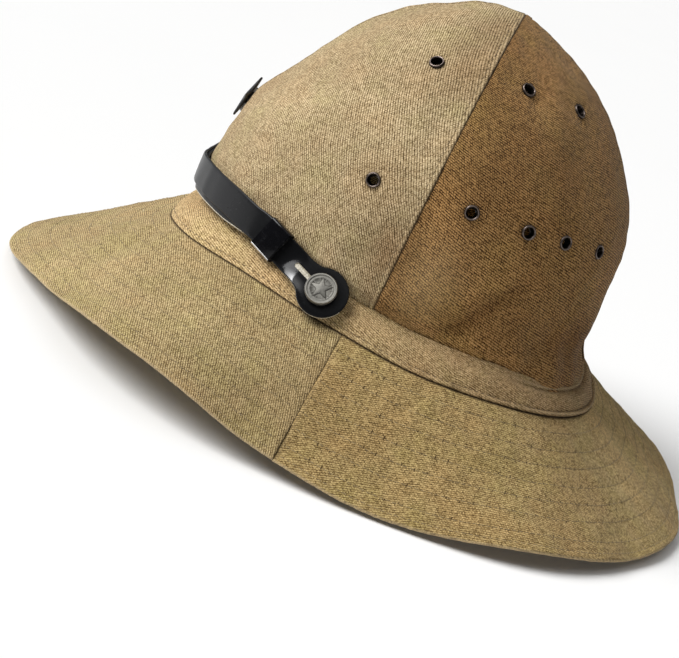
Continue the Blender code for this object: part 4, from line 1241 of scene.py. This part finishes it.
def strap_faces(owns, columns, side):
    """A strap's faces, and for each whether it is raw leather where the coating stops short."""
    under = len(owns) * columns
    faces, raw = [], []
    for i, own in enumerate(owns[:-1]):
        for j in range(columns - 1):
            a = i * columns + j
            quad = [a, a + 1, a + columns + 1, a + columns]
            faces += [quad, [v + under for v in reversed(quad)]]
            raw += [(j if side > 0 else columns - 2 - j) < RAW_COLUMNS and 6 < own < 50, False]
        for j, way in ((0, -1), (columns - 1, 1)):
            a = i * columns + j
            wall = [a, a + columns, a + columns + under, a + under]
            faces.append(wall if way > 0 else wall[::-1])
            raw.append(j == (0 if side > 0 else columns - 1))
    for i, way in ((0, 1), (len(owns) - 1, -1)):
        for j in range(columns - 1):
            a = i * columns + j
            wall = [a + 1, a, a + under, a + 1 + under]
            faces.append(wall if way > 0 else wall[::-1])
            raw.append(False)
    return faces, raw


def make_strap(node, side, layer, edge_material):
    """A strap of coated leather with rounded edges, from its round tab to the far keeper."""
    owns, knots = strap_stations(node_tree(node), side)
    outer, inner, rubbed, polished = [], [], [], []
    shares = np.linspace(-1.0, 1.0, 11)[1:-1]
    for own in owns:
        lift = float(smooth(*zip(*knots), own))
        middle, _, across, off = straightened(own * side)
        half = tab_half_width((BUTTON_ANGLE - own) * DEGREE)
        slipped = float(smoothstep((own - 4) / 12) * (1 - smoothstep((own - 38) / 16)))
        shift = -SLIP * slipped * (1 - layer)
        # Painted sheen, lightest at the strap's front end
        painted_sheen = 0.62 * (1 - float(smoothstep((abs(own) - 28) / 34)))
        at_neck = float(hump(own, BUTTON_ANGLE - 5.4, 2.8))
        at_button = float(hump(own, BUTTON_ANGLE, 9))
        steps = [e * min(1.0, half / 0.002) for e in EDGE_STEPS]
        places = [-half + e for e in steps] + [s * (half - steps[-1]) for s in shares] + [
            half - e for e in reversed(steps)]
        to_end = max(min(own + KEEPER_END, TAB_END - own) * DEGREE, 0.0)
        for place in places:
            edge = min(half - abs(place), to_end)
            sunk = 1 - min(edge / EDGE_ROUNDING, 1.0)
            round_off = 0.00042 * (1 - math.sqrt(max(1 - sunk ** 2, 0.0)))
            crown_up = 0.00012 * (1 - (place / half) ** 2) * (1 - at_button)
            forward = -place * side / half
            curl = at_neck * min(max(forward, 0.0), 1.0) ** 2
            point = middle + across * (place + shift) + off * (lift + 0.0005 * curl)
            outer.append(point + off * (STRAP_LEATHER - round_off + crown_up))
            inner.append(point + off * (round_off * 0.6))
            polished.append(at_neck * float(smoothstep((forward - 0.40) / 0.35)))
            # Painted sheen over the face, with wear along the edges
            rubbed.append(painted_sheen + (0.30 if place * side < 0 else 0.05) * math.exp(-(edge / 0.00035) ** 2))
    faces, raw = strap_faces(owns, len(places), side)
    layers = {"rubbed": np.array(rubbed * 2), "polished": np.array(polished * 2)}
    piece = mesh_piece(node + "_leather", set_down(np.array(outer + inner)), faces, layers, sharp_angle=55.0)
    for polygon, is_raw in zip(piece.data.polygons, raw):
        polygon.material_index = 1 if is_raw and layer == 0 else 0
    bm = bmesh.new()
    bm.from_mesh(piece.data)
    bmesh.ops.recalc_face_normals(bm, faces=bm.faces)
    bm.to_mesh(piece.data)
    bm.free()
    return dressed(piece, [OUTER_LEATHER, edge_material], [node]), knots


def frame_on_strap(knots, side, own, step=1.0):
    """A frame on a strap's inner face: X towards the front, Z off the crown, set down."""
    def at(turn):
        middle, _, across, off = straightened(turn * side)
        return middle + off * float(smooth(*zip(*knots), turn)), across, off

    here, across, _ = at(own)
    x = rest_vector(at(own - step)[0] - at(own + step)[0]).normalized()
    across = rest_vector(across)
    z = (x.cross(across) * -side).normalized()
    return Matrix.Translation(rest_point(here)) @ Matrix((x, z.cross(x), z)).transposed().to_4x4()


# Hard pieces, modelled about their own middle and then set in place

def start_piece(name, size=(1.0, 1.0, 1.0)):
    """Names and sizes the piece that an operator has just made, and leaves it alone selected."""
    piece = bpy.context.active_object
    piece.name = piece.data.name = name
    piece.scale = size
    bpy.ops.object.transform_apply(location=True, rotation=True, scale=True)
    return piece


def clear_selection():
    if bpy.context.object and bpy.context.object.mode != "OBJECT":
        bpy.ops.object.mode_set(mode="OBJECT")
    bpy.ops.object.select_all(action="DESELECT")


def select_only(piece, *others):
    """Leaves the given pieces selected, with the first of them active."""
    clear_selection()
    for each in (piece, *others):
        each.select_set(True)
    bpy.context.view_layer.objects.active = piece


def block(name, size, location, turn=0.0):
    """A box, turned about its upright axis."""
    clear_selection()
    bpy.ops.mesh.primitive_cube_add(size=1.0, rotation=(0.0, 0.0, turn), location=location)
    return start_piece(name, size)


def choose(piece, kind, test):
    """In edit mode, selects the faces or edges that pass the test and nothing else."""
    bpy.ops.mesh.select_mode(type=kind)
    bpy.ops.mesh.select_all(action="DESELECT")
    bm = bmesh.from_edit_mesh(piece.data)
    for part in bm.faces if kind == "FACE" else bm.edges:
        part.select = bool(test(part))
    bm.select_flush_mode()
    bmesh.update_edit_mesh(piece.data)


def run_of(edge):
    return (edge.verts[0].co - edge.verts[1].co).normalized()


def face_outwards():
    bpy.ops.mesh.select_all(action="SELECT")
    bpy.ops.mesh.normals_make_consistent(inside=False)


def apply_modifiers(piece):
    select_only(piece)
    for modifier in list(piece.modifiers):
        bpy.ops.object.modifier_apply(modifier=modifier.name)


def soften_edges(piece, width, angle):
    """Bevels the edges that turn by more than an angle in degrees."""
    bevel = piece.modifiers.new("soften", "BEVEL")
    bevel.width, bevel.segments, bevel.limit_method = width, 2, "ANGLE"
    bevel.angle_limit = math.radians(angle)
    apply_modifiers(piece)


def set_in_place(piece, matrix, smooth_angle=40.0):
    """Moves the finished mesh to its place on the hat, and leaves the object at the origin."""
    select_only(piece)
    piece.matrix_world = matrix
    bpy.ops.object.transform_apply(location=True, rotation=True, scale=True)
    bpy.ops.object.shade_smooth_by_angle(angle=math.radians(smooth_angle))
    piece.select_set(False)
    return piece


def mark_wear_and_highlight(piece, value):
    """Writes a value for each vertex from its place in the piece's own frame: how far the metal is worn
    bright, or where the keeper's painted highlights lie.
    """
    layer = piece.data.attributes.new("rubbed", "FLOAT", "POINT")
    layer.data.foreach_set("value", [min(max(value(v.co), 0.0), 1.0) for v in piece.data.vertices])


def make_keeper(node, side, knots):
    """A moulded loop round both layers of the strap, with softened corners."""
    stack = 2 * STRAP_LEATHER + 3 * GAP
    low, high = -GAP - KEEPER_WALL, stack - GAP + KEEPER_WALL
    half = STRAP_WIDTH / 2 + GAP + KEEPER_WALL
    piece = block(node + "_loop", (KEEPER_LENGTH, 2 * half, high - low), (0.0, 0.0, (low + high) / 2))
    bpy.ops.object.mode_set(mode="EDIT")
    choose(piece, "FACE", lambda face: abs(face.normal.x) > 0.9)
    bpy.ops.mesh.inset(thickness=KEEPER_WALL, depth=0.0)
    bpy.ops.mesh.bridge_edge_loops()
    choose(piece, "EDGE", lambda edge: abs(run_of(edge).x) > 0.9
           and min(abs(v.co.y) for v in edge.verts) > half - KEEPER_WALL * 0.5)
    bpy.ops.mesh.bevel(offset=KEEPER_CORNER, segments=5)
    bpy.ops.object.mode_set(mode="OBJECT")
    soften_edges(piece, 0.00018, 50)

    # Painted highlights: two white lines along one long corner, the first matte and the second metallic
    def painted_light_and_wear(co):
        across, up = co.y * side - half + KEEPER_CORNER, co.z - high + KEEPER_CORNER
        turn = math.atan2(across, up) / (math.pi / 2)
        if math.hypot(across, up) < KEEPER_CORNER * 0.9:
            return 0.0
        return 0.5 * (0.12 < turn < 0.28) + (0.50 < turn < 0.90)

    mark_wear_and_highlight(piece, painted_light_and_wear)
    set_in_place(piece, frame_on_strap(knots, side, KEEPER_ANGLE))
    return dressed(piece, [BLACK_LACQUER], [node])


def star_corner(i, radius, waist):
    reach = radius if i % 2 == 0 else radius * waist
    turn = math.pi / 2 + math.pi * i / 5
    return reach * math.cos(turn), reach * math.sin(turn)


def star_plate(name, radius, low, shoulder, high, softness):
    """A five-pointed star with upright sides and ridges that rise to its middle."""
    clear_selection()
    bpy.ops.mesh.primitive_circle_add(vertices=10, radius=radius, fill_type="NGON", location=(0, 0, low))
    piece = start_piece(name)
    corners = sorted(piece.data.vertices, key=lambda v: math.atan2(v.co.y, v.co.x))
    first = min(range(10), key=lambda k: abs(math.atan2(corners[k].co.y, corners[k].co.x) - math.pi / 2))
    for k in range(10):
        vertex = corners[(first + k) % 10]
        vertex.co.x, vertex.co.y = star_corner(k, radius, STAR_WAIST)
    bpy.ops.object.mode_set(mode="EDIT")
    bpy.ops.mesh.select_all(action="SELECT")
    bpy.ops.mesh.extrude_region_move(TRANSFORM_OT_translate={"value": (0, 0, shoulder - low)})
    face_outwards()
    choose(piece, "FACE", lambda face: face.calc_center_median().z > shoulder - 1e-6)
    bpy.ops.mesh.poke(offset=0.0)
    bpy.ops.object.mode_set(mode="OBJECT")
    middle = min((v for v in piece.data.vertices if v.co.z > shoulder - 1e-6),
                 key=lambda v: math.hypot(v.co.x, v.co.y))
    middle.co.z = high
    soften_edges(piece, softness, 14)
    return piece


# The button's face from its underside inwards: radius and height in metres
BUTTON_RINGS = (
    (0.0059, 0.0000), (0.0064, 0.0005), (0.0065, 0.0012), (0.0064, 0.0020), (0.0061, 0.0024),
    (0.0057, 0.0024), (0.0055, 0.0021), (0.0052, 0.0020), (0.0048, 0.0021), (0.0044, 0.0021),
    (0.0042, 0.0020), (0.0026, 0.0021), (0.0010, 0.0021),
)
RAY_SIZE = (0.0014, 0.00028, 0.0006)
RAY_PLACE = 0.0038
RAY_HEIGHT = 0.0019


def make_button(node, side, knots):
    """A metal button with a double rim, a plain star and short rays between its points."""
    seat = STRAP_LEATHER + GAP
    post = BUTTON_POST_DIAMETER / 2
    clear_selection()
    bpy.ops.mesh.primitive_circle_add(vertices=64, radius=post, fill_type="NGON", location=(0, 0, 0))
    piece = start_piece(node + "_metal")
    bpy.ops.object.mode_set(mode="EDIT")
    bpy.ops.mesh.select_all(action="SELECT")
    radius, height = post, 0.0
    for next_radius, next_height in ((post, seat), *((r, seat + h) for r, h in BUTTON_RINGS)):
        bpy.ops.mesh.extrude_region_move(TRANSFORM_OT_translate={"value": (0, 0, next_height - height)})
        scale = next_radius / radius
        bpy.ops.transform.resize(value=(scale, scale, 1.0))
        radius, height = next_radius, next_height
    face_outwards()
    bpy.ops.object.mode_set(mode="OBJECT")
    extras = [star_plate(node + "_star", 0.0042, seat + 0.0012, seat + 0.00235, seat + 0.00255, 0.00012),
              star_plate(node + "_outline", 0.0050, seat + 0.0012, seat + 0.00213, seat + 0.00216, 0.00002)]
    for k in range(10):
        turn = math.pi / 2 + math.pi / 5 * k + math.pi / 10
        middle = (RAY_PLACE * math.cos(turn), RAY_PLACE * math.sin(turn), seat + RAY_HEIGHT)
        extras.append(block(f"{node}_ray_{k}", RAY_SIZE, middle, turn))
    select_only(piece, *extras)
    bpy.ops.object.join()

    def proud(co):
        from_middle = math.hypot(co.x, co.y)
        in_hollow = 0.00112 < co.z - seat < 0.00218 and from_middle < 0.0051
        if in_hollow and abs(co.z - seat - 0.0021) > 0.00002:
            return 0.0
        return 0.40 + 0.25 * (from_middle > BUTTON_DIAMETER / 2 * 0.86)

    mark_wear_and_highlight(piece, proud)
    set_in_place(piece, frame_on_strap(knots, side, BUTTON_ANGLE), 35.0)
    return dressed(piece, [ANTIQUE_SILVER], [node])


def placement(point, normal, upward=Vector((0, 0, 1))):
    z = normal.normalized()
    x = upward.cross(z).normalized()
    return Matrix.Translation(point) @ Matrix((x, z.cross(x), z)).transposed().to_4x4()


def make_badge():
    """A convex star with softened ridges, on a short post at the front of the crown."""
    row = crown_row(BADGE_LEVEL * CROWN_HEIGHT)
    normal = Vector(crown_normal(0.0, row))
    place = placement(rest_point(Vector(crown_point(0.0, row)) + normal * GAP), rest_vector(normal))
    star = star_plate("star_badge_enamel", BADGE_DIAMETER / 2, BADGE_STANDOFF, BADGE_STANDOFF + 0.0010,
                      BADGE_STANDOFF + BADGE_HEIGHT, 0.00028)
    depth = BADGE_STANDOFF + 0.0004
    clear_selection()
    bpy.ops.mesh.primitive_cylinder_add(vertices=32, radius=BADGE_POST_DIAMETER / 2, depth=depth,
                                        location=(0, 0, depth / 2))
    select_only(star, start_piece("badge_post"))
    bpy.ops.object.join()
    mark_wear_and_highlight(star, lambda co: 0.15 + 0.8 * smoothstep(
        (math.hypot(co.x, co.y) - BADGE_DIAMETER * 0.30) / (BADGE_DIAMETER * 0.2)))
    set_in_place(star, place, 30.0)
    return dressed(star, [DARK_ENAMEL], ["star_badge"])


def eyelet_section():
    """Half the section of a clinched eyelet, as radius and height."""
    hole, metal = EYELET_HOLE / 2, EYELET_METAL
    flange, back = EYELET_DIAMETER / 2, -(CROWN_CLOTH + 2 * GAP)
    throat = hole + 0.00045
    section = [(hole, back), (hole, -0.0010), (hole + 0.0002, -0.0005), (throat, 0.0)]
    roll_middle, roll_radius = (throat + flange) / 2, (flange - throat) / 2
    for k in range(1, 12):
        turn = math.pi - math.pi * k / 12
        section.append((roll_middle + roll_radius * math.cos(turn), EYELET_LIP * math.sin(turn)))
    return section + [
        (flange, 0.0), (flange - 0.0002, -0.00035), (hole + metal, -0.0002), (hole + metal, back),
        (hole + metal + 0.0005, back), (hole + metal + 0.0005, back - metal),
        (hole + 0.0001, back - metal * 1.1)]


def make_eyelets():
    """One eyelet, spun from its section, and a copy of it for each hole in the crown."""
    section = eyelet_section()
    loop = [(k, (k + 1) % len(section)) for k in range(len(section))]
    mesh = bpy.data.meshes.new("eyelet_section")
    mesh.from_pydata([(r, 0.0, z) for r, z in section], loop, [])
    first = linked(bpy.data.objects.new("eyelet_section", mesh))
    select_only(first)
    bpy.ops.object.mode_set(mode="EDIT")
    bpy.ops.mesh.select_all(action="SELECT")
    bpy.ops.mesh.spin(steps=28, angle=2 * math.pi, center=(0, 0, 0), axis=(0, 0, 1))
    bpy.ops.mesh.select_all(action="SELECT")
    bpy.ops.mesh.remove_doubles(threshold=0.00001)
    bpy.ops.mesh.normals_make_consistent(inside=False)
    bpy.ops.object.mode_set(mode="OBJECT")
    mark_wear_and_highlight(first, lambda co: 0.02 + 0.80 * max(0.0, co.z / EYELET_LIP) ** 3)
    for name, _, point, normal in EYELETS:
        copy = linked(bpy.data.objects.new(name + "_ring", first.data.copy()))
        normal = Vector(normal)
        seat = rest_point(Vector(point) - normal * 0.00030)
        set_in_place(copy, placement(seat, rest_vector(normal)), 60.0)
        dressed(copy, [ANTIQUE_BRONZE], [name])
    bpy.data.objects.remove(first, do_unlink=True)


def cut_slot(strap, side, knots):
    """The button's slot: a round hole and a slit towards the front, with raw leather in it."""
    middle = (SLOT_LENGTH + BUTTON_POST_DIAMETER / 2) / 2
    size = (SLOT_LENGTH - BUTTON_POST_DIAMETER / 2, SLOT_WIDTH, STRAP_LEATHER)
    cutter = block("slot_cutter", size, (middle, 0.0, STRAP_LEATHER * 0.75))
    bpy.ops.object.mode_set(mode="EDIT")
    choose(cutter, "EDGE", lambda edge: abs(run_of(edge).z) > 0.9)
    bpy.ops.mesh.bevel(offset=SLOT_WIDTH * 0.45, segments=5)
    bpy.ops.object.mode_set(mode="OBJECT")
    cutter.data.materials.append(RAW_LEATHER)
    set_in_place(cutter, frame_on_strap(knots, side, BUTTON_ANGLE))
    hole = strap.modifiers.new("slot", "BOOLEAN")
    hole.object, hole.operation, hole.solver = cutter, "DIFFERENCE", "EXACT"
    hole.material_mode = "TRANSFER"
    apply_modifiers(strap)
    bpy.data.objects.remove(cutter, do_unlink=True)
    bpy.ops.object.shade_smooth_by_angle(angle=math.radians(35.0))
    strap.select_set(False)


# The whole hat

panel_pieces, crown_threads = [], []
for panel in PANELS:
    piece, threads = make_panel(panel)
    panel_pieces.append(piece)
    crown_threads += threads
band_piece, band_threads = make_band()
brim_front, brim_front_threads = make_brim("brim_front", -BRIM_SEAM_ANGLE, BRIM_SEAM_ANGLE,
                                           BRIM_FRONT_TWILL, 61)
brim_back, brim_back_threads = make_brim("brim_back", BRIM_SEAM_ANGLE, 360.0 - BRIM_SEAM_ANGLE,
                                         BRIM_BACK_TWILL, 71)
stitch_piece("crown_stitches", crown_threads, CROWN_THREAD)
stitch_piece("band_stitches", band_threads, CROWN_THREAD)
brim_front_stitches = stitch_piece("brim_front_stitches", brim_front_threads, BRIM_THREAD, 0.00005)
brim_back_stitches = stitch_piece("brim_back_stitches", brim_back_threads, BRIM_THREAD, 0.00005)

for node, side, layer in (("strap_left", 1, 0), ("strap_right", -1, 1)):
    strap, knots = make_strap(node, side, layer, RAW_LEATHER)
    cut_slot(strap, side, knots)
    word = node.split("_")[1]
    make_button("button_" + word, side, knots)
    if layer == 0:
        inner_knots = knots
for word, side in (("left", 1), ("right", -1)):
    make_keeper("keeper_" + word, side, [(own * side, lift) for own, lift in inner_knots][::side])
make_badge()
make_eyelets()


# Floor, light and camera

def make_floor():
    clear_selection()
    bpy.ops.mesh.primitive_plane_add(size=24.0, location=(0.0, 0.0, 0.0))
    floor = start_piece("floor")
    floor.data.materials.append(floor_finish())


def wide_light(name, direction, spread, strength):
    """A broad soft light, far off in the given direction and so many degrees wide."""
    data = bpy.data.lights.new(name, "SUN")
    data.energy, data.angle = strength, math.radians(spread)
    lamp = linked(bpy.data.objects.new(name, data))
    lamp.rotation_euler = Vector(direction).to_track_quat("Z", "Y").to_euler()


CAMERA_AZIMUTH = 4.40
CAMERA_ELEVATION = 18.35
CAMERA_ROLL = 21.58
CAMERA_POSITION = (0.6625, 0.0431, 0.2392)
FOCAL_PIXELS = 1576.47
PICTURE_WIDTH = 679
SENSOR_WIDTH = 36.0


def make_camera():
    """The photograph's viewing angle: from the wearer's left, a little above, leaning to the right."""
    azimuth, elevation, roll = (math.radians(v) for v in (CAMERA_AZIMUTH, CAMERA_ELEVATION, CAMERA_ROLL))
    back = Vector((math.cos(elevation) * math.cos(azimuth), math.cos(elevation) * math.sin(azimuth),
                   math.sin(elevation)))
    level_right = Vector((-math.sin(azimuth), math.cos(azimuth), 0.0))
    level_up = back.cross(level_right)
    right = level_right * math.cos(roll) + level_up * math.sin(roll)
    up = level_up * math.cos(roll) - level_right * math.sin(roll)
    data = bpy.data.cameras.new("camera")
    data.sensor_fit, data.sensor_width = "HORIZONTAL", SENSOR_WIDTH
    data.lens = FOCAL_PIXELS / PICTURE_WIDTH * SENSOR_WIDTH
    data.clip_start, data.clip_end = 0.01, 50.0
    camera = linked(bpy.data.objects.new("camera", data))
    camera.matrix_world = (Matrix.Translation(CAMERA_POSITION)
                           @ Matrix((right, up, back)).transposed().to_4x4())
    bpy.context.scene.camera = camera


make_floor()
wide_light("key", (0.25, -0.66, 0.71), 38.0, 3.60)
wide_light("overhead", (0.0, 0.0, 1.0), 70.0, 0.70)
world = bpy.data.worlds.new("pale_room")
world.use_nodes = True
world.node_tree.nodes["Background"].inputs["Color"].default_value = (1.0, 1.0, 1.0, 1.0)
world.node_tree.nodes["Background"].inputs["Strength"].default_value = 0.04
bpy.context.scene.world = world
bpy.context.scene.view_settings.view_transform = "Standard"
make_camera()
